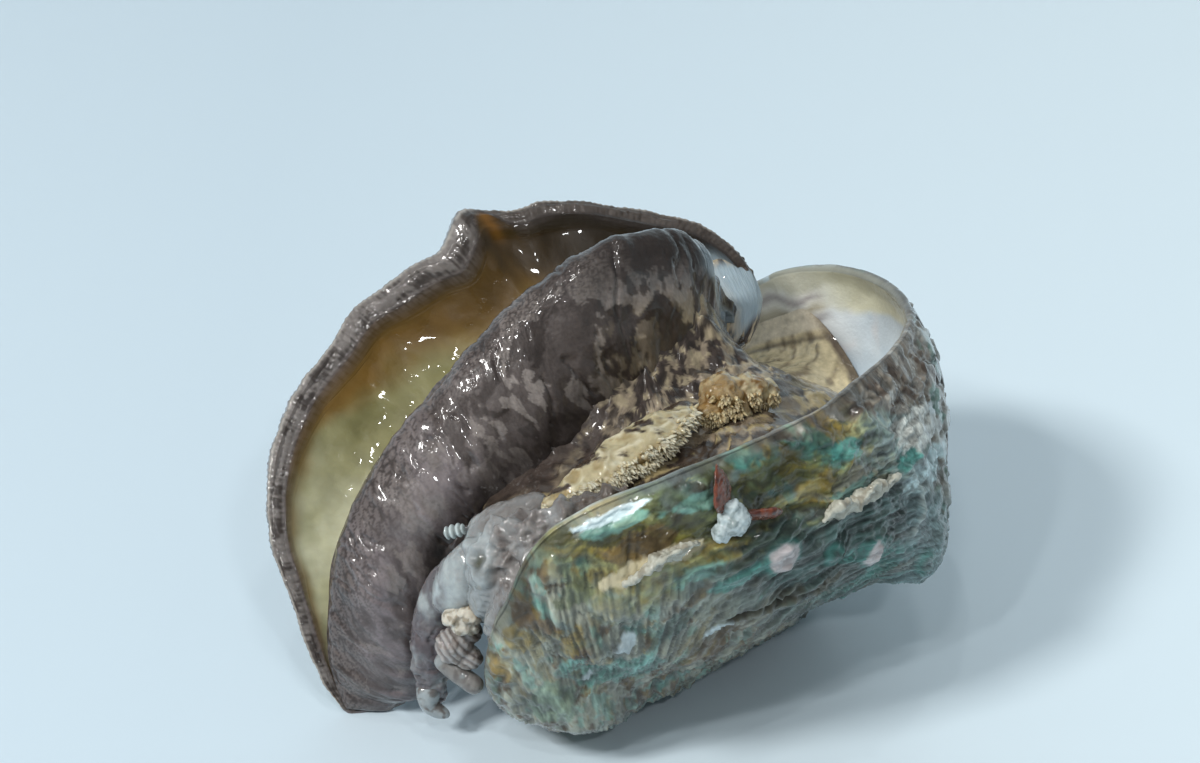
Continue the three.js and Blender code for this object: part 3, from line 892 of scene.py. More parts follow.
# Where the soft body's skin is drawn up onto the foot's side: x, y and how far it climbs.
CLIMB = (
    (-8.5, 2.4, 2.5), (-2.9, 6.8, 6), (2.8, 12, 10), (8.5, 17.4, 13), (11.3, 20.6, 12), (13.2, 23.2, 8.5),
    (15, 25.8, 4),
)


def climb(points):
    """How far the soft body's skin stands up towards the foot's side."""
    line = Guide(CLIMB).at(np.linspace(0, 1, 60))
    ragged = 1 + 0.22 * rough(points / 4, 3, 147)
    lift = np.zeros(points.shape[:-1])
    for x, y, height in line:
        distance = np.hypot(points[..., 0] - x, points[..., 1] - y) * ragged
        lift = np.maximum(lift, height * np.exp(-distance / 3.5))
    return lift


VISCERA_TURNS, VISCERA_ROWS, VISCERA_GAP = 420, 260, 0.3  # the gap to the shell is in millimetres


def viscera_skin():
    """The soft body's skin: along the bowl below, and its own lumpy surface above."""
    turn = even_turns(VISCERA_TURNS)[None, :]
    rise = np.linspace(0.004, 0.996, VISCERA_ROWS)[:, None]
    share = np.sin(np.minimum(rise, 1 - rise) * np.pi)
    turns, shares = np.broadcast_arrays(turn, share)
    reach = fill_reach(turns) * shares
    points = bowl(turns, reach, SHELL.wall + VISCERA_GAP)
    along, across = (value * reach for value in outline(turns))
    upper = (rise > 0.5) & np.ones_like(turns, bool)
    top = points.copy()
    thin = bell((np.degrees(turns) + 170) % 360 - 180, 24)
    top[..., 2] = mix(-fill_height(along, across), points[..., 2], shares ** (8 - 5 * thin))
    points = np.where(upper[..., None], top, points)
    lumps = rough(points / 7, 3, 141) * 0.9 + 0.35 * rough(points / 2.2, 3, 143)
    folds = ridged(points / (9, 3.5, 9), 3, 145)
    height = (lumps + 0.5 * smooth(folds, 0.6, 0.95)) * upper * (1 - shares**12)
    points[..., 2] -= height
    skin = stand_up(points)
    lift = climb(skin) * upper * (1 - shares**12)
    skin[..., 2] += lift
    fields = SimpleNamespace(local=points, along=along, across=across, reach=reach, turn=np.degrees(turns),
                             skin=skin, lift=lift, share=shares)
    return on_floor(skin), viscera_colour(fields)


def viscera_colour(f):
    """Dark brown with cream and ochre marbling, tan at the tail, and pale up the slope to the foot."""
    local = f.local
    flow = local / (5.5, 3.2, 5) + 0.4 * rough(local / 6, 3, 151)[..., None]
    patch = rough(flow, 4, 153)
    tan = smooth(f.along, 0.32, 0.5) * below(f.across, 0.62, 0.8)
    fan = rough(np.stack([f.along * 4, f.across * 24, 0 * f.along], -1) + 0.3 * patch[..., None], 3, 159)
    blotch = rough(f.skin / (2.4, 3.4, 4.2), 4, 163)
    slope = smooth(f.lift, 0.25, 1.0)
    pale = slope * smooth(f.skin[..., 0] + 4 * blotch, -5, 3)
    fleck = rough(f.skin / (1.1, 1.5, 2.0), 4, 165)
    around = (f.turn + 180) % 360 - 180
    near = bell(around + 4, 26)
    margin = smooth(f.share + 0.03 * patch, 0.925, 0.965)
    margin = margin * smooth(around, 0, 8) * below(around, 40, 60)
    return coat(
        local, (66, 56, 48),
        ((44, 37, 32), clouds(local / 3, 155, -0.1, 0.3)),
        ((132, 118, 98), 0.85 * smooth(patch, 0.12, 0.24)),
        ((164, 148, 108), 0.8 * smooth(rough(flow * 1.7, 4, 157), 0.2, 0.34)),
        ((208, 194, 158), tan * (0.5 + 0.4 * smooth(fan, -0.2, 0.0))),
        ((112, 96, 72), tan * smooth(-fan, 0.12, 0.3) * 0.6),
        ((64, 55, 50), slope),
        ((128, 116, 99), pale * 0.9 * smooth(blotch + 0.4 * fleck, 0.0, 0.07)),
        ((158, 146, 120), pale * 0.7 * smooth(fleck + 0.3 * blotch, 0.16, 0.26)),
        ((44, 37, 33), slope * 0.85 * smooth(-fleck, 0.14, 0.24)),
        ((202, 194, 176), near * smooth(f.reach, 0.925, 0.94) * 0.9),
        ((58, 50, 44), near * bell(f.reach - 0.912, 0.01) * 0.7),
        ((78, 66, 56), margin * 0.9),
    )


# ---- meshes ----


# How the solid shell is stepped: columns, rows, the share of the rows on its outside, and how many of
# them are enough to reach the lip.
SOLID_TURNS, SOLID_ROWS, OUTER_SHARE, OUTER_ROWS = 48, 22, 0.6, 14


def model_to_part():
    """The step from the axes that the sizes are in to the part's own, found on the shell."""
    turn = np.arange(SOLID_TURNS)[None, :] / SOLID_TURNS * TAU
    rows = np.arange(OUTER_ROWS)[:, None] / SOLID_ROWS / OUTER_SHARE
    skin = stand_up(bowl(turn, np.sin(np.minimum(rows, 1) * np.pi / 2)))
    _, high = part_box("shell")
    shift = np.array(high) / MM - skin.reshape(-1, 3).max(0)
    shift[2] = 0
    return shift


SHIFT = model_to_part()


def ring_faces(rows, columns):
    """The quads of a skin of closed rows, and the fans that close its two ends."""
    index = np.arange(rows * columns).reshape(rows, columns)
    a, d = index[:-1], index[1:]
    quads = np.stack([a, np.roll(a, -1, 1), np.roll(d, -1, 1), d], -1).reshape(-1, 4)
    first, last = index[0], index[-1]
    start, end = rows * columns, rows * columns + 1
    one = np.stack([np.roll(first, -1), first, np.full(columns, start)], -1)
    two = np.stack([last, np.roll(last, -1), np.full(columns, end)], -1)
    return quads, np.concatenate([one, two])


def closed_grid(grid):
    """Corners and faces of the closed body that a grid of rows is the skin of."""
    rows, columns = grid.shape[:2]
    corners = np.concatenate([grid.reshape(-1, 3), [grid[0].mean(0), grid[-1].mean(0)]])
    quads, fans = ring_faces(rows, columns)
    faces = np.concatenate([quads[:, [0, 1, 2]], quads[:, [0, 2, 3]], fans])
    a, b, c = (corners[faces[:, k]] for k in range(3))
    if (a * np.cross(b, c)).sum() < 0:
        quads, fans = quads[:, ::-1], fans[:, ::-1]
    return corners, quads, fans


def fill_ends(values):
    """The values of a grid's corners, with those of its two end points."""
    flat = values.reshape(-1, *values.shape[2:])
    return np.concatenate([flat, [values[0].mean(0), values[-1].mean(0)]])


def joined(grids):
    """Corners, quads and end fans of the closed bodies of several grids."""
    corners, quads, fans, start = [], [], [], 0
    for grid in grids:
        a, b, c = closed_grid(grid)
        corners.append(a)
        quads.append(b + start)
        fans.append(c + start)
        start += len(a)
    return np.concatenate(corners), np.concatenate(quads), np.concatenate(fans)


def add_object(name, data):
    """An object in the scene."""
    thing = bpy.data.objects.new(name, data)
    bpy.context.scene.collection.objects.link(thing)
    return thing


def write_mesh(name, corners, faces_by_size):
    """A mesh from corners in millimetres and one array of faces for each number of sides."""
    mesh = bpy.data.meshes.new(name)
    mesh.vertices.add(len(corners))
    mesh.vertices.foreach_set("co", ((corners + SHIFT) * MM).astype(np.float32).ravel())
    loops = np.concatenate([faces.ravel() for faces in faces_by_size])
    sizes = np.concatenate([np.full(len(faces), faces.shape[1]) for faces in faces_by_size])
    mesh.loops.add(len(loops))
    mesh.loops.foreach_set("vertex_index", loops.astype(np.int32))
    mesh.polygons.add(len(sizes))
    starts = running(sizes)[:-1]
    mesh.polygons.foreach_set("loop_start", starts.astype(np.int32))
    mesh.update(calc_edges=True)
    mesh.validate()
    mesh.shade_smooth()
    return mesh


def add_piece(name, mesh, material, nodes, colour, flow):
    """A finished piece of the animal, standing for its solids."""
    layer = mesh.color_attributes.new("tint", "FLOAT_COLOR", "POINT")
    rgba = np.concatenate([np.clip(colour, 0, 1), np.ones((len(colour), 1))], 1)
    layer.data.foreach_set("color", rgba.astype(np.float32).ravel())
    layer = mesh.attributes.new("flow", "FLOAT_VECTOR", "POINT")
    layer.data.foreach_set("vector", flow.astype(np.float32).ravel())
    mesh.materials.append(material)
    piece = add_object(name, mesh)
    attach(piece, "root")
    if nodes:
        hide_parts(*nodes)


def add_skin(name, grid, material, nodes, colour, flow):
    """The closed body that a grid is the skin of, with a colour and a flow for each place."""
    corners, quads, fans = closed_grid(grid)
    mesh = write_mesh(name, corners, [quads, fans])
    add_piece(name, mesh, material, nodes, fill_ends(colour), fill_ends(flow))


BLOB_ROWS, BLOB_COLUMNS = 24, 36


def blob(centre, radii):
    """An egg of three half sizes."""
    turn = np.arange(BLOB_COLUMNS)[None, :] / BLOB_COLUMNS * TAU
    polar = np.linspace(0.03, np.pi - 0.03, BLOB_ROWS)[:, None]
    x, y, z = np.sin(polar) * np.cos(turn), np.sin(polar) * np.sin(turn), np.cos(polar) + 0 * turn
    return np.stack([x, y, z], -1) * radii + centre


SKYWARD = np.array([-0.3, -0.2, 0.9])


def strand(points, radii, flatness=1.0, flat_way=SKYWARD, rings=60, sides=32):
    """A soft body along a guide, with any number of radii along it, rounded at both ends."""
    curve = Guide(points)
    share = (1 - np.cos(np.linspace(0.03, np.pi - 0.03, rings))) / 2
    middle, ahead = curve.at(share), curve.ahead(share)
    thin = unit(flat_way - ahead * dot(ahead, flat_way))
    wide = np.cross(ahead, thin)
    radius = np.interp(share, np.linspace(0, 1, len(radii)), radii)
    radius = radius * np.sqrt(1 - (2 * share - 1) ** 6)
    turn = (np.arange(sides) / sides * TAU)[None, :, None]
    swing = np.cos(turn) * wide[:, None] + flatness * np.sin(turn) * thin[:, None]
    return middle[:, None] + radius[:, None, None] * swing


def fused(grids, voxel, smoothing):
    """Overlapping closed bodies melted into one: its corners, normals and faces, in millimetres."""
    corners, quads, fans = joined(grids)
    mesh = write_mesh("melt", corners, [quads, fans])
    body = add_object("melt", mesh)
    remesh = body.modifiers.new("melt", "REMESH")
    remesh.mode, remesh.voxel_size = "VOXEL", voxel * MM
    relax = body.modifiers.new("relax", "SMOOTH")
    relax.factor, relax.iterations = 0.5, smoothing
    made = bpy.data.meshes.new_from_object(body.evaluated_get(bpy.context.evaluated_depsgraph_get()))
    points, normals = np.zeros((2, len(made.vertices) * 3), np.float32)
    made.vertices.foreach_get("co", points)
    made.vertex_normals.foreach_get("vector", normals)
    sizes = np.zeros(len(made.polygons), np.int32)
    made.polygons.foreach_get("loop_total", sizes)
    loops = np.zeros(len(made.loops), np.int32)
    made.loops.foreach_get("vertex_index", loops)
    starts = running(sizes)[:-1]
    faces = [loops[starts[sizes == size][:, None] + np.arange(size)] for size in np.unique(sizes)]
    bpy.data.objects.remove(body)
    bpy.data.meshes.remove(mesh)
    bpy.data.meshes.remove(made)
    points = points.reshape(-1, 3).astype(float) / MM - SHIFT
    return SimpleNamespace(points=points, normals=normals.reshape(-1, 3).astype(float), faces=faces)


def melted_eggs(rows, voxel, smoothing):
    """Eggs melted into one, from rows of three for the centre and three half sizes."""
    return fused([blob(row[:3], row[3:]) for row in rows], voxel, smoothing)


def add_fused(name, body, height, material, nodes, colour):
    """A melted body with a relief on it."""
    points = on_floor(body.points + body.normals * np.asarray(height)[..., None])
    mesh = write_mesh(name, points, body.faces)
    add_piece(name, mesh, material, nodes, colour, points)


FINGER_SWELL, FINGER_SIDES = (1, 1, 0.95, 0.85, 0.62, 0.2), 7  # the shares of the radius, foot to tip


def fingers(roots, ways, lengths, radii, droop, seed):
    """Small bent fingers standing on a surface, as one mesh."""
    rng = np.random.RandomState(seed)
    t = np.linspace(0, 1, len(FINGER_SWELL))[None, :, None]
    side = unit(np.cross(ways, rng.normal(size=ways.shape)))
    other = np.cross(ways, side)
    bend = unit(side * rng.normal(size=(len(roots), 1)) + droop)
    lengths, radii = lengths[:, None, None], radii[:, None, None]
    middle = roots[:, None] + lengths * (ways[:, None] * (t - 0.15) + 0.35 * bend[:, None] * t**2)
    swell = np.array(FINGER_SWELL)[None, :, None]
    turn = (np.arange(FINGER_SIDES) / FINGER_SIDES * TAU)[:, None]
    swing = np.cos(turn) * side[:, None, None] + np.sin(turn) * other[:, None, None]
    return joined(middle[:, :, None] + (radii * swell)[..., None] * swing)


# ---- materials ----


class Shader:
    """A material's nodes, for short: a value given for an input is set on it, an output is linked."""

    def __init__(self, name):
        self.material = bpy.data.materials.new(name)
        self.material.use_nodes = True
        self.tree = self.material.node_tree
        self.tree.nodes.clear()
        self.surface = self.add("ShaderNodeBsdfPrincipled", {})
        self.add("ShaderNodeOutputMaterial", {"Surface": self.surface.outputs[0]})

    def fill(self, node, inputs):
        """Sets or links a node's inputs."""
        for key, value in inputs.items():
            if isinstance(value, bpy.types.NodeSocket):
                self.tree.links.new(value, node.inputs[key])
            else:
                node.inputs[key].default_value = value

    def add(self, kind, inputs, **settings):
        """A new node with its inputs and its settings."""
        node = self.tree.nodes.new(kind)
        for key, value in settings.items():
            setattr(node, key, value)
        self.fill(node, inputs)
        return node

    def set(self, **inputs):
        """Sets or links the surface's inputs, with _ for each space in a name."""
        self.fill(self.surface, {key.replace("_", " "): value for key, value in inputs.items()})

    def attribute(self, name, output):
        return self.add("ShaderNodeAttribute", {}, attribute_name=name).outputs[output]

    def place(self):
        return self.add("ShaderNodeTexCoord", {}).outputs["Object"]

    def noise(self, coordinates, scale, detail):
        inputs = {"Scale": scale, "Detail": detail, "Vector": coordinates}
        return self.add("ShaderNodeTexNoise", inputs).outputs["Fac"]

    def ramp(self, value, low, high, to_low=0.0, to_high=1.0):
        """The value taken from one range to another."""
        inputs = {1: low, 2: high, 3: to_low, 4: to_high, 0: value}
        return self.add("ShaderNodeMapRange", inputs, clamp=True).outputs[0]

    def bump(self, height, strength, distance, **below):
        """A fine relief, over another one where that is given."""
        inputs = {"Strength": strength, "Distance": distance, "Height": height}
        return self.add("ShaderNodeBump", {**inputs, **below}).outputs[0]

    def shade(self, colour, value, low, high):
        """The colour, darker or lighter by a value from 0 to 1."""
        inputs = {0: 1, 6: colour, 7: self.ramp(value, 0.25, 0.75, low, high)}
        return self.add("ShaderNodeMix", inputs, data_type="RGBA", blend_type="MULTIPLY").outputs[2]


def wet_material(name, *, grain, contrast, bump, roughness=(0.25, 0.5), coat_roughness=0.035,
                 scatter=0.0, radius=(1, 0.6, 0.4), lumps=900, film=0.00007):
    """Wet tissue or shell: its painted tint, finer mottling and relief, and a film of water."""
    s = Shader(name)
    place = s.place()
    fine = s.noise(s.attribute("flow", "Vector"), grain, 5)
    low = s.bump(fine, 0.8, bump)
    s.set(
        Base_Color=s.shade(s.attribute("tint", "Color"), fine, 1 - contrast, 1 + contrast),
        Roughness=s.ramp(s.noise(place, 700, 3), 0.35, 0.65, *roughness),
        Normal=s.bump(s.noise(place, 2600, 3), 0.5, bump * 0.35, Normal=low),
        Coat_Normal=s.bump(s.noise(place, lumps, 2), 1, film),
        Coat_Weight=1, Coat_Roughness=coat_roughness, Coat_IOR=1.36, Specular_IOR_Level=0.22,
    )
    if scatter:
        s.set(Subsurface_Weight=scatter, Subsurface_Scale=MM, Subsurface_Radius=radius)
    return s.material


# ---- pieces ----


def add_shell():
    """The ear shaped bowl, worn and crusted outside and pearly inside."""
    grid, colour, fields = shell_skin()
    flow = np.zeros(grid.shape)
    rows = fields.streak.shape[0]
    flow[:rows] = fields.streak * (0.6, 0.8, 1) * (1 - 0.5 * fields.tailside)[..., None]
    flow[rows:] = grid[rows:] * 0.03
    material = wet_material("shell_wet", grain=1.8, contrast=0.5, bump=0.0004, roughness=(0.3, 0.55),
                            lumps=700, film=0.00016)
    add_skin("shell_dressed", grid, material, ["shell"], colour, flow)


def add_foot():
    """The curled foot: leathery skin, pleated rim and smooth sole."""
    f = foot_fields()
    centre = f.points.mean(axis=1, keepdims=True)
    normal = skin_normals(f.points, centre)
    points = f.points + normal * foot_relief(f)[..., None] + rim_bends(f)
    flow = np.stack([f.mm * 1.4, f.down * 0.8, f.share * 3], -1) * (1 - 0.75 * f.sole)[..., None]
    material = wet_material("foot_wet", grain=1.3, contrast=0.16, bump=0.00012, roughness=(0.3, 0.45),
                            scatter=0.12, radius=(1.2, 0.8, 0.5), lumps=300, film=0.00005)
    add_skin("foot_dressed", on_floor(points), material, ["foot"], foot_colour(f), flow)


def add_viscera():
    """The marbled soft body that fills the bowl."""
    grid, colour = viscera_skin()
    material = wet_material("viscera_wet", grain=1.2, contrast=0.25, bump=0.00018, roughness=(0.25, 0.45))
    add_skin("viscera_dressed", grid, material, ["viscera"], colour, grid)


def soft_material(name, **settings):
    """Soft wet tissue that light goes into."""
    options = dict(grain=1.6, contrast=0.12, bump=0.0001, scatter=0.35, radius=(1.6, 1.2, 1.0))
    return wet_material(name + "_wet", **{**options, **settings})


def add_soft(name, solid, body, height, colour, **settings):
    """A melted body of soft tissue with a relief on it, standing for one solid."""
    add_fused(name + "_dressed", body, height, soft_material(name, **settings), [solid], colour)


def add_head():
    """The grey head and snout, smooth above and folded below."""
    body = fused(
        [
            strand([(-12.6, -10, 25.8), (-13.9, -10, 21.6), (-15.8, -9, 16.8)], (1.9, 3.2, 2.5), rings=50),
            strand([(-14, -8, 24.6), (-9, -8.5, 28), (-5.5, -7.5, 29.6)], (2.2, 2.4, 1.6), 0.8, rings=40),
            strand([(-15.8, -7.4, 22), (-17.4, -7.8, 17), (-18, -8, 12), (-18, -8.2, 7), (-17.6, -8.2, 3.6)],
                   (1.2, 2.0, 2.3, 1.9, 1.5), rings=60),
        ],
        0.24, 26,
    )
    p = body.points
    low = below(p[:, 2], 14, 17.5)
    folds = ridged(p / (3.2, 3.2, 1.4), 3, 205)
    height = 0.3 * rough(p / 4, 3, 201) + (0.1 + 0.3 * low) * rough(p / 1.4, 3, 203)
    height -= 0.35 * smooth(folds, 0.65, 0.95) * low
    veil = rough(p / 2.6, 4, 207)
    colour = coat(
        p, (146, 152, 153),
        ((122, 121, 122), 0.7 * smooth(veil, -0.1, 0.3)),
        ((86, 78, 84), low * smooth(p[:, 2], 8, 11) * smooth(rough(p / 1.8, 4, 209), -0.3, 0.1) * 0.9),
        ((166, 176, 178), 0.9 * bell(np.linalg.norm((p - [-16.5, -11.5, 20.5]) / [1, 1, 1.6], axis=1), 3)),
        ((84, 78, 82), 0.85 * smooth(p[:, 0] + 0.12 * p[:, 2], -13.2, -14.4) * smooth(veil, -0.5, 0.1)),
        ((118, 116, 114), smooth(p[:, 0], -13.4, -11.6)),
    )
    add_soft("head", "head", body, height, colour, scatter=0.8, lumps=400, film=0.00014)


def add_mouth():
    """A glassy lump of folded cream tissue, amber on its upper edge."""
    body = melted_eggs(
        [(-15.2, -12.9, 18.4, 1.3, 1.1, 0.9), (-13.6, -13.1, 18.8, 1.3, 1.0, 1.1),
         (-14.4, -13.0, 17.4, 1.2, 1.1, 0.9), (-12.9, -12.8, 19.6, 0.7, 0.7, 0.6),
         (-13.3, -12.6, 17.2, 0.8, 0.8, 1.0), (-14.4, -11.9, 18.2, 1.8, 1.3, 1.6)],
        0.13, 2,
    )
    p = body.points
    height = 0.2 * rough(p / 0.8, 3, 213) + 0.1 * cobbled(p / 1.1, 212, 0.5)
    colour = coat(
        p, (192, 187, 174),
        ((146, 138, 122), clouds(p / 0.9, 211, 0, 0.3)),
        ((150, 116, 60), 0.9 * bell(np.linalg.norm(p - [-12.6, -13.2, 19.6], axis=1), 0.8)),
    )
    add_soft("mouth", "mouth", body, height, colour)


def add_frill():
    """Thin grey leaves packed side by side under the mouth."""
    body = melted_eggs(
        [(-15.3, -11.9, 14.2, 2.0, 1.6, 2.2), (-13.8, -12.0, 12.8, 1.4, 1.3, 1.4),
         (-14.0, -11.4, 15.6, 1.6, 1.4, 1.4)],
        0.11, 3,
    )
    p = body.points
    stack = p @ unit(np.array([0.72, 0, 0.69])) + 0.4 * rough(p / 3, 2, 215)
    leaf = np.abs(np.sin(stack * np.pi / 0.8))
    height = 0.2 * (leaf - 0.6) + 0.22 * rough(p / 1.3, 3, 217)
    colour = coat(
        p, (122, 116, 114),
        # Painted highlights along the crests of the leaves.
        ((160, 157, 154), 0.8 * smooth(leaf, 0.3, 0.9)),
        ((104, 94, 86), 0.6 * clouds(p / 1.2, 219, 0, 0.3)),
    )
    add_soft("frill", "frill", body, height, colour)


TENTACLES = (
    (((-17, -10.4, 12.2), (-15.2, -11.8, 10.8), (-12.5, -13.0, 9.2)), (1.5, 1.2, 1.05, 1.15)),
    (((-18.4, -8.8, 7.2), (-18.2, -9.2, 4.4), (-16.2, -9.8, 3.4)), (1.5, 1.3, 0.9, 0.6)),
)


def add_tentacles():
    """Two blunt feelers."""
    material = soft_material("tentacle")
    for i, (points, radii) in enumerate(TENTACLES):
        grid = strand(points, radii, rings=70, sides=36)
        grid = grid + 0.12 * rough(grid / 1.1, 3, 221 + i)[..., None] * SKYWARD
        colour = coat(
            grid, ((120, 118, 115), (142, 150, 153))[i],
            ((100, 97, 95), smooth(rough(grid / 1.2, 3, 223 + i), 0, 0.35)),
            ((150, 158, 160), 0.6 * smooth(rough(grid / 2, 2, 225 + i), 0.1, 0.4)),
        )
        name = f"tentacle_{i + 1}"
        add_skin(name + "_dressed", grid, material, [name], colour, grid)


HOLLOW = np.array([-12.1, -15.4, 26.9])  # an opening like an eye in the mantle


def add_mantle():
    """Wrinkled grey folds between the head and the lip, round a small hollow."""
    body = fused(
        [
            strand([(-11.8, -11, 17), (-11.4, -12, 22), (-10.2, -13.2, 26), (-7.2, -14, 29.6), (-3, -14, 32),
                    (3, -12, 34)], (2.0, 3.2, 3.5, 2.9, 1.8, 1.2, 0.8), 0.9, rings=80),
            strand([(-10.8, -14.6, 16.6), (-10.2, -16.2, 21), (-7.8, -17.4, 26.4), (-4, -18.2, 30.6)],
                   (1.2, 1.9, 1.9, 1.2), 0.8, rings=60),
        ],
        0.2, 5,
    )
    p = body.points
    away = np.hypot(p[:, 0] - HOLLOW[0], (p[:, 2] - HOLLOW[2]) * 0.6) + 0.4 * rough(p / 2.5, 2, 230)
    bearing = np.arctan2(p[:, 2] - HOLLOW[2], p[:, 0] - HOLLOW[0])
    front = below(p[:, 1], -13, -11)
    polar = np.stack([away / 1.7, bearing * 1.3, p[:, 1] / 6], -1)
    folds = ridged(polar + 0.25 * rough(p / 2, 3, 231)[:, None], 3, 232)
    spread = smooth(away, 1.4, 2.4)
    height = 0.5 * (folds - 0.55) * spread + 0.6 * rough(p / 4.5, 2, 233) + 0.06 * rough(p / 1.2, 2, 235)
    height += front * (0.22 * bell(away - 1.0, 0.35) - 0.7 * bell(away, 0.55))
    height += 1.0 * rough(p / 1.7, 2, 234) * smooth(p[:, 2], 24, 28)
    colour = coat(
        p, (122, 119, 117),
        ((92, 86, 83), 0.8 * smooth(0.45 - folds, 0, 0.2) * spread),
        ((138, 140, 140), 0.7 * clouds(p / 3, 237, 0.05, 0.3)),
        ((98, 92, 90), 0.5 * clouds(p / 1.6, 239, 0.1, 0.3)),
        ((140, 147, 149), 0.8 * below(p[:, 0], -12.5, -10.5)),
        # Painted highlight: a bright ring round the lip of the hollow.
        ((164, 172, 174), 0.7 * front * bell(away - 1.1, 0.3)),
        ((74, 76, 66), front * bell(away, 0.55)),
        ((78, 68, 60), 0.85 * smooth(p[:, 0], -6, -1)),
    )
    add_soft("mantle", "mantle", body, height, colour, coat_roughness=0.06, scatter=0.25, lumps=420,
             film=0.00045)


def fringe(name, roots, ways, lengths, radius, colours, droop, seed):
    """Fingers standing at the roots, from a low colour at the foot to a high one; the dark feet are partly
    painted shade.
    """
    rng = np.random.RandomState(seed)
    count = len(roots)
    ways = unit(ways + 0.28 * rng.normal(size=ways.shape))
    long = rng.uniform(*lengths, size=count)
    thick = radius * rng.uniform(0.65, 1.35, size=count)
    corners, quads, fans = fingers(roots, ways, long, thick, droop, seed + 1)
    shade = rng.uniform(0, 1, size=(count, 1, 1))
    tip = np.repeat(np.linspace(0, 1, len(FINGER_SWELL)), FINGER_SIDES)
    tip = np.concatenate([tip, [0, 1]])[None, :, None]
    low, high = (linear(tint) for tint in colours)
    # Darker towards the feet: partly the fingers' own colour, partly painted shade.
    colour = mix(low, high, np.clip(0.5 * shade + 0.6 * tip, 0, 1)).reshape(-1, 3)
    mesh = write_mesh(name, corners, [quads, fans])
    material = soft_material(name, scatter=0.5, contrast=0.08)
    add_piece(name, mesh, material, [], colour, corners)


def pick(body, weight, count, seed):
    """Places and outward ways scattered over a melted body, more where the weight is high."""
    rng = np.random.RandomState(seed)
    chosen = rng.choice(len(weight), size=count, p=weight / weight.sum())
    return body.points[chosen] + 0.09 * rng.normal(size=(count, 3)), body.normals[chosen]


GONAD_WAY = ((-6.5, -8.8, 29.4), (-2, -6.4, 31.0), (3, -3, 32.6), (7, 0.8, 33.7), (9.6, 4.0, 34.2))
TOWARD_LIP = unit(np.array([0.59, -0.75, 0.03]))


def add_gonad():
    """A cream strip with a fringe of fine fingers along the side towards the lip."""
    body = fused([strand(GONAD_WAY, (0.9, 2.0, 2.9, 2.7, 1.5), 0.5, rings=110, sides=48)], 0.2, 2)
    p = body.points
    ridges = ridged(p / (2.6, 2.6, 3), 2, 242)
    edge = dot(body.normals, TOWARD_LIP)[:, 0]
    height = 0.5 * rough(p / 3, 3, 241) + 0.1 * rough(p / 1.2, 2, 243) + 0.25 * (ridges - 0.5)
    mottle = rough(p / (3, 1.6, 2), 4, 247)
    colour = coat(
        p, (170, 160, 128),
        ((146, 130, 92), clouds(p / 2.6, 245, -0.05, 0.3)),
        ((200, 194, 170), 0.7 * smooth(ridges, 0.55, 0.9)),
        # Amber along the side towards the lip, under the fringe: partly the tissue's colour, partly painted
        # shade.
        ((128, 100, 52), 0.7 * smooth(edge, 0.35, 0.75) * bell(p[:, 0] - 4.5, 2.6)),
        ((62, 50, 40), smooth(mottle - 0.55 * edge, 0.1, 0.3)),
    )
    add_soft("gonad", "gonad", body, height, colour, coat_roughness=0.05, lumps=340, film=0.0003)
    clumps = smooth(rough(p / 1.7, 2, 249), -0.08, 0.12)
    weight = smooth(edge, 0.5, 0.9) * (0.04 + clumps)
    roots, ways = pick(body, weight, 1000, 301)
    fringe("gonad_fringe", roots, unit(ways + 0.8 * TOWARD_LIP), (0.3, 1.15), 0.19,
           ((172, 146, 96), (214, 206, 180)), TOWARD_LIP * 0.4 - SKYWARD * 0.5, 302)


def add_gland():
    """A soft amber lump, tufted along its lower edge."""
    body = melted_eggs(
        [(13.2, 7.4, 33.4, 2.6, 2.6, 2.2), (15.8, 8.5, 33.4, 2.5, 2.2, 1.7),
         (18.0, 9.4, 32.8, 1.5, 1.5, 1.2), (12.0, 5.6, 32.2, 1.8, 1.6, 1.6),
         (14.4, 6.4, 32.0, 2.0, 1.6, 1.6)],
        0.2, 3,
    )
    p = body.points
    height = 0.55 * rough(p / 1.8, 3, 251) + 0.16 * rough(p / 0.6, 3, 253)
    amber = bell(np.linalg.norm(p - [12.4, 5.8, 33.6], axis=1), 2.9)
    colour = coat(
        p, (138, 124, 96),
        ((132, 100, 48), 0.95 * amber),
        ((112, 84, 44), clouds(p / 1.3, 255, 0.05, 0.3)),
        ((184, 172, 138), clouds(p / 1.6, 257, -0.05, 0.25) * 0.8 * (1 - 0.9 * amber)),
    )
    add_soft("gland", "digestive_gland", body, height, colour, coat_roughness=0.08, lumps=400, film=0.0002)
    down = unit(np.array([-0.1, -0.8, -0.45]))
    facing = body.normals @ down
    clumps = smooth(rough(p / 1.6, 2, 259), -0.02, 0.15)
    weight = smooth(facing, 0.3, 0.8) * (0.03 + clumps)
    roots, ways = pick(body, weight, 900, 311)
    fringe("gland_fringe", roots, unit(ways + 0.5 * down), (0.25, 0.9), 0.2,
           ((140, 108, 60), (200, 180, 140)), down * 0.5, 312)


def on_shell(degrees, reach, lift):
    """A place over the shell's outside, lifted off it by millimetres."""
    return stand_up(bowl(np.radians(degrees), np.float64(reach), -lift))


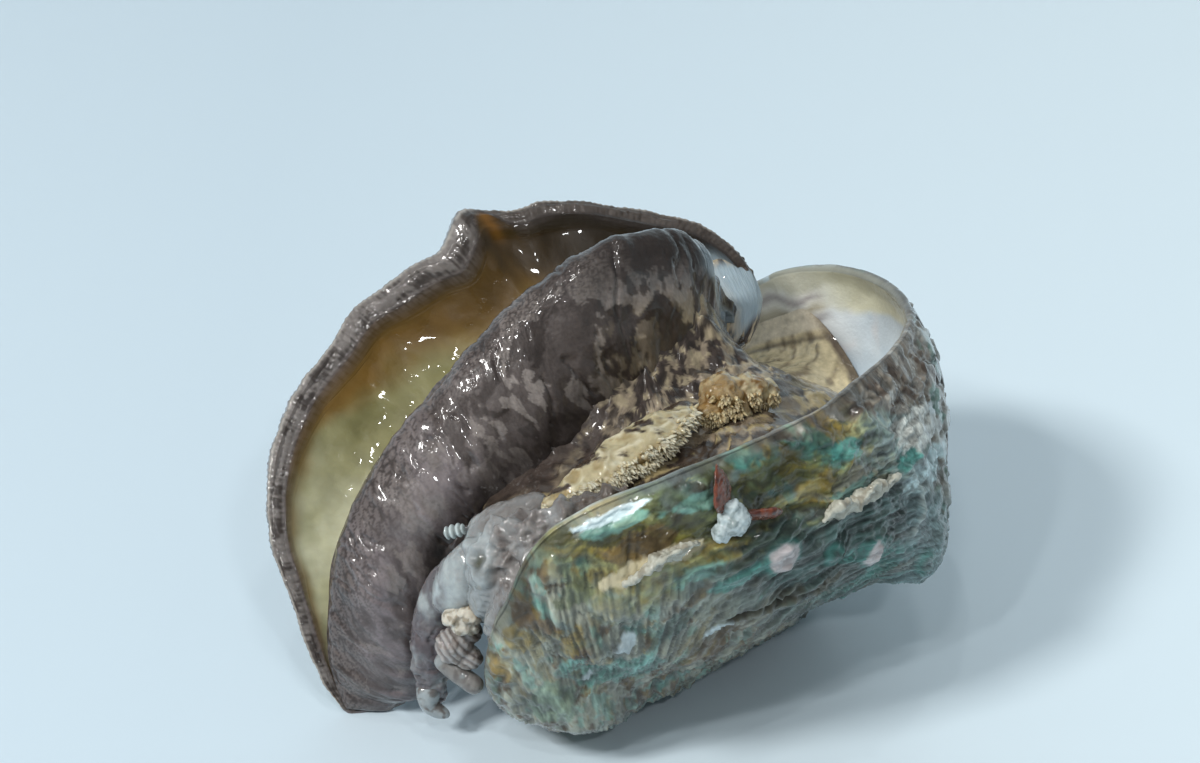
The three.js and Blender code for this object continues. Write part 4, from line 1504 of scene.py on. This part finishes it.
def add_growths():
    """The barnacle, the two streaks of crust, the scrap of weed and the worm tube."""
    stone = wet_material("growth_wet", grain=2.2, contrast=0.15, bump=0.0001, roughness=(0.3, 0.6),
                         scatter=0.25, radius=(1, 1, 1))
    barnacle = fused(
        [blob(on_shell(128.2, 0.952, 1.3), [1.7, 1.5, 1.7]), blob(on_shell(132, 0.943, 1.2), [1.1, 1, 1]),
         blob(on_shell(127, 0.966, 1.7), [1.1, 1, 1.1])],
        0.14, 3,
    )
    p = barnacle.points
    colour = coat(p, (178, 191, 193), ((136, 148, 148), clouds(p / 1.0, 261, 0, 0.3)))
    height = 0.28 * rough(p / 0.9, 3, 263)
    add_fused("barnacle_dressed", barnacle, height, stone, ["barnacle"], colour)

    crusts = (
        ("upper_crust", ((156, 0.95, 0.9), (150, 0.95, 1.1), (143, 0.95, 1.0), (137, 0.94, 0.7)),
         (0.7, 1.3, 1.8, 1.0), 271),
        ("lower_crust", ((112, 0.872, 0.4), (108, 0.888, 0.6), (104, 0.874, 0.6), (100, 0.89, 0.6),
                         (96, 0.874, 0.5), (91, 0.882, 0.4)), (1.1, 1.8, 1.1, 1.9, 1.0, 1.5, 0.8), 281),
    )
    for name, places, radii, seed in crusts:
        guide = [on_shell(*place) for place in places]
        body = fused([strand(guide, radii, 0.24, SHELL.inward, 90, 40)], 0.13, 1)
        p = body.points
        ragged = rough(p / 2.1, 4, seed + 3)
        tint = coat(
            p, (172, 172, 160),
            ((144, 140, 126), smooth(rough(p / 1.4, 3, seed), 0, 0.3)),
            ((118, 126, 116), smooth(-ragged, 0.1, 0.4) * 0.8),
        )
        height = 1.0 * ragged + 0.14 * rough(p / 0.6, 2, seed + 2)
        add_fused(name + "_dressed", body, height, stone, [name], tint)

    weed_material = wet_material("weed_wet", grain=1.5, contrast=0.2, bump=0.0001, scatter=0.2)
    weed = fused(
        [strand([on_shell(128.5, 0.965, 1.0), on_shell(126.5, 0.985, 1.9), on_shell(124, 1.0, 3.2)],
                (0.9, 1.8, 1.4, 0.25), 0.3, SHELL.inward),
         strand([on_shell(127, 0.957, 1.3), on_shell(123, 0.945, 1.5), on_shell(119, 0.932, 1.3)],
                (0.7, 1.2, 1.3, 0.6), 0.4, SHELL.inward)],
        0.13, 3,
    )
    p = weed.points
    colour = coat(p, (112, 60, 42), ((72, 36, 28), clouds(p / 1.1, 291, 0, 0.3)))
    height = 0.12 * rough(p / 0.8, 2, 293)
    add_fused("weed_dressed", weed, height, weed_material, ["weed"], colour)

    grid = strand([(-16.2, -8.6, 26.0), (-14, -9.0, 26.9)], (0.66, 0.7, 0.66), rings=80, sides=28)
    rings = np.sin(np.linspace(0, 5 * TAU, len(grid)))[:, None, None]
    middle = grid.mean(axis=1, keepdims=True)
    grid = middle + (grid - middle) * (1 + 0.14 * rings)
    colour = coat(grid, mix(srgb(112, 120, 120), srgb(178, 190, 190), (rings + 1) / 2))
    add_skin("worm_tube_dressed", grid, stone, ["worm_tube"], colour, grid)


# ---- stage ----

FLOOR_FRONT, FLOOR_BEND, FLOOR_TOP, FLOOR_HALF_WIDTH = -1.2, 0.35, 1.6, 1.6  # metres
FLOOR_STEPS, BEND_STEPS = 20, 16


def add_floor():
    """A pale, faintly glossy floor that sweeps up behind."""
    bend = np.linspace(0.1, 1.57, BEND_STEPS)
    flat = np.linspace(FLOOR_FRONT, FLOOR_BEND, FLOOR_STEPS)
    depth = np.concatenate([flat, FLOOR_BEND + FLOOR_BEND * np.sin(bend), [2 * FLOOR_BEND]])
    rise = np.concatenate([np.zeros(FLOOR_STEPS), FLOOR_BEND * (1 - np.cos(bend)), [FLOOR_TOP]])
    across = np.linspace(-FLOOR_HALF_WIDTH, FLOOR_HALF_WIDTH, 3)
    corners = [(x, y, z) for y, z in zip(depth.tolist(), rise.tolist()) for x in across.tolist()]
    starts = [3 * row + column for row in range(len(depth) - 1) for column in range(2)]
    mesh = bpy.data.meshes.new("floor")
    mesh.from_pydata(corners, [], [(k, k + 1, k + 4, k + 3) for k in starts])
    mesh.shade_smooth()
    s = Shader("floor_pale")
    # Painted light: the floor and its backdrop are painted lighter towards the right.
    sideways = s.add("ShaderNodeSeparateXYZ", {0: s.place()}).outputs[0]
    # Inputs 6 and 7 are the two colours that are mixed, 0 is the share of the second.
    painted_light_inputs = {0: s.ramp(sideways, -0.05, 0.25), 6: (*srgb(198, 214, 224), 1), 7: (*srgb(232, 246, 252), 1)}
    painted_light = s.add("ShaderNodeMix", painted_light_inputs, data_type="RGBA").outputs[2]
    s.set(Base_Color=painted_light, Roughness=0.28, Specular_IOR_Level=0.35)
    mesh.materials.append(s.material)
    add_object("floor", mesh)


def look_at(thing, place, target):
    """Puts a thing at a place, turned to face the target."""
    thing.location = Vector(place)
    thing.rotation_euler = (Vector(target) - Vector(place)).to_track_quat("-Z", "Y").to_euler()


# Name, place, height of the target over the floor and size in metres, power in watts, colour.
LIGHTS = (
    ("window", (-0.95, -0.66, 1.1), 0.02, (0.26, 0.26), 18, (1, 0.985, 0.96)),
    ("ceiling", (0.15, -0.35, 1.1), 0, (0.12, 0.03), 0.9, (1, 0.99, 0.97)),
    ("overhead", (-0.12, -0.02, 1.1), 0, (0.06, 0.03), 0.5, (1, 0.99, 0.97)),
    ("lamp", (-0.12, -0.55, 0.85), 0.02, (0.09, 0.035), 0.9, (1, 0.99, 0.97)),
    ("front", (0.25, -0.8, 0.8), 0.02, (0.09, 0.05), 1.6, (0.97, 0.99, 1)),
    ("strip", (-0.26, -0.4, 0.5), 0.02, (0.02, 0.05), 0.5, (1, 1, 1)),
)
SKY_COLOUR, SKY_STRENGTH = (0.87, 0.95, 1, 1), 0.24


def add_lights():
    """One broad soft light, a few small ones for the wet glints, and a pale sky."""
    for name, place, height, size, power, colour in LIGHTS:
        light = bpy.data.lights.new(name, "AREA")
        light.shape, light.size, light.size_y = "RECTANGLE", *size
        light.energy, light.color = power, colour
        look_at(add_object(name, light), place, (0, 0, height))
    world = bpy.data.worlds.new("sky")
    world.use_nodes = True
    background = world.node_tree.nodes["Background"]
    background.inputs["Color"].default_value = SKY_COLOUR
    background.inputs["Strength"].default_value = SKY_STRENGTH
    bpy.context.scene.world = world


# The photograph's view: lens and sensor in millimetres, angle down in degrees, distance in metres, and
# the place that it looks at, in the axes of the sizes.
LENS, SENSOR, VIEW_DOWN, VIEW_DISTANCE, VIEW_TARGET = 85, 36, 30, 0.33, (0, 30, 22)


def add_camera():
    """The photograph's view, from the front and looking down on the animal."""
    camera = bpy.data.cameras.new("camera")
    camera.lens, camera.sensor_width = LENS, SENSOR
    thing = add_object("camera", camera)
    target = (np.array(VIEW_TARGET) + SHIFT) * MM
    down = math.radians(VIEW_DOWN)
    look_at(thing, target + VIEW_DISTANCE * np.array([0, -math.cos(down), math.sin(down)]), target)
    bpy.context.scene.camera = thing


for add in (
    add_camera, add_shell, add_foot, add_viscera, add_head, add_mouth, add_frill, add_tentacles,
    add_mantle, add_gonad, add_gland, add_growths, add_floor, add_lights,
):
    add()
bpy.context.scene.view_settings.view_transform = "Standard"
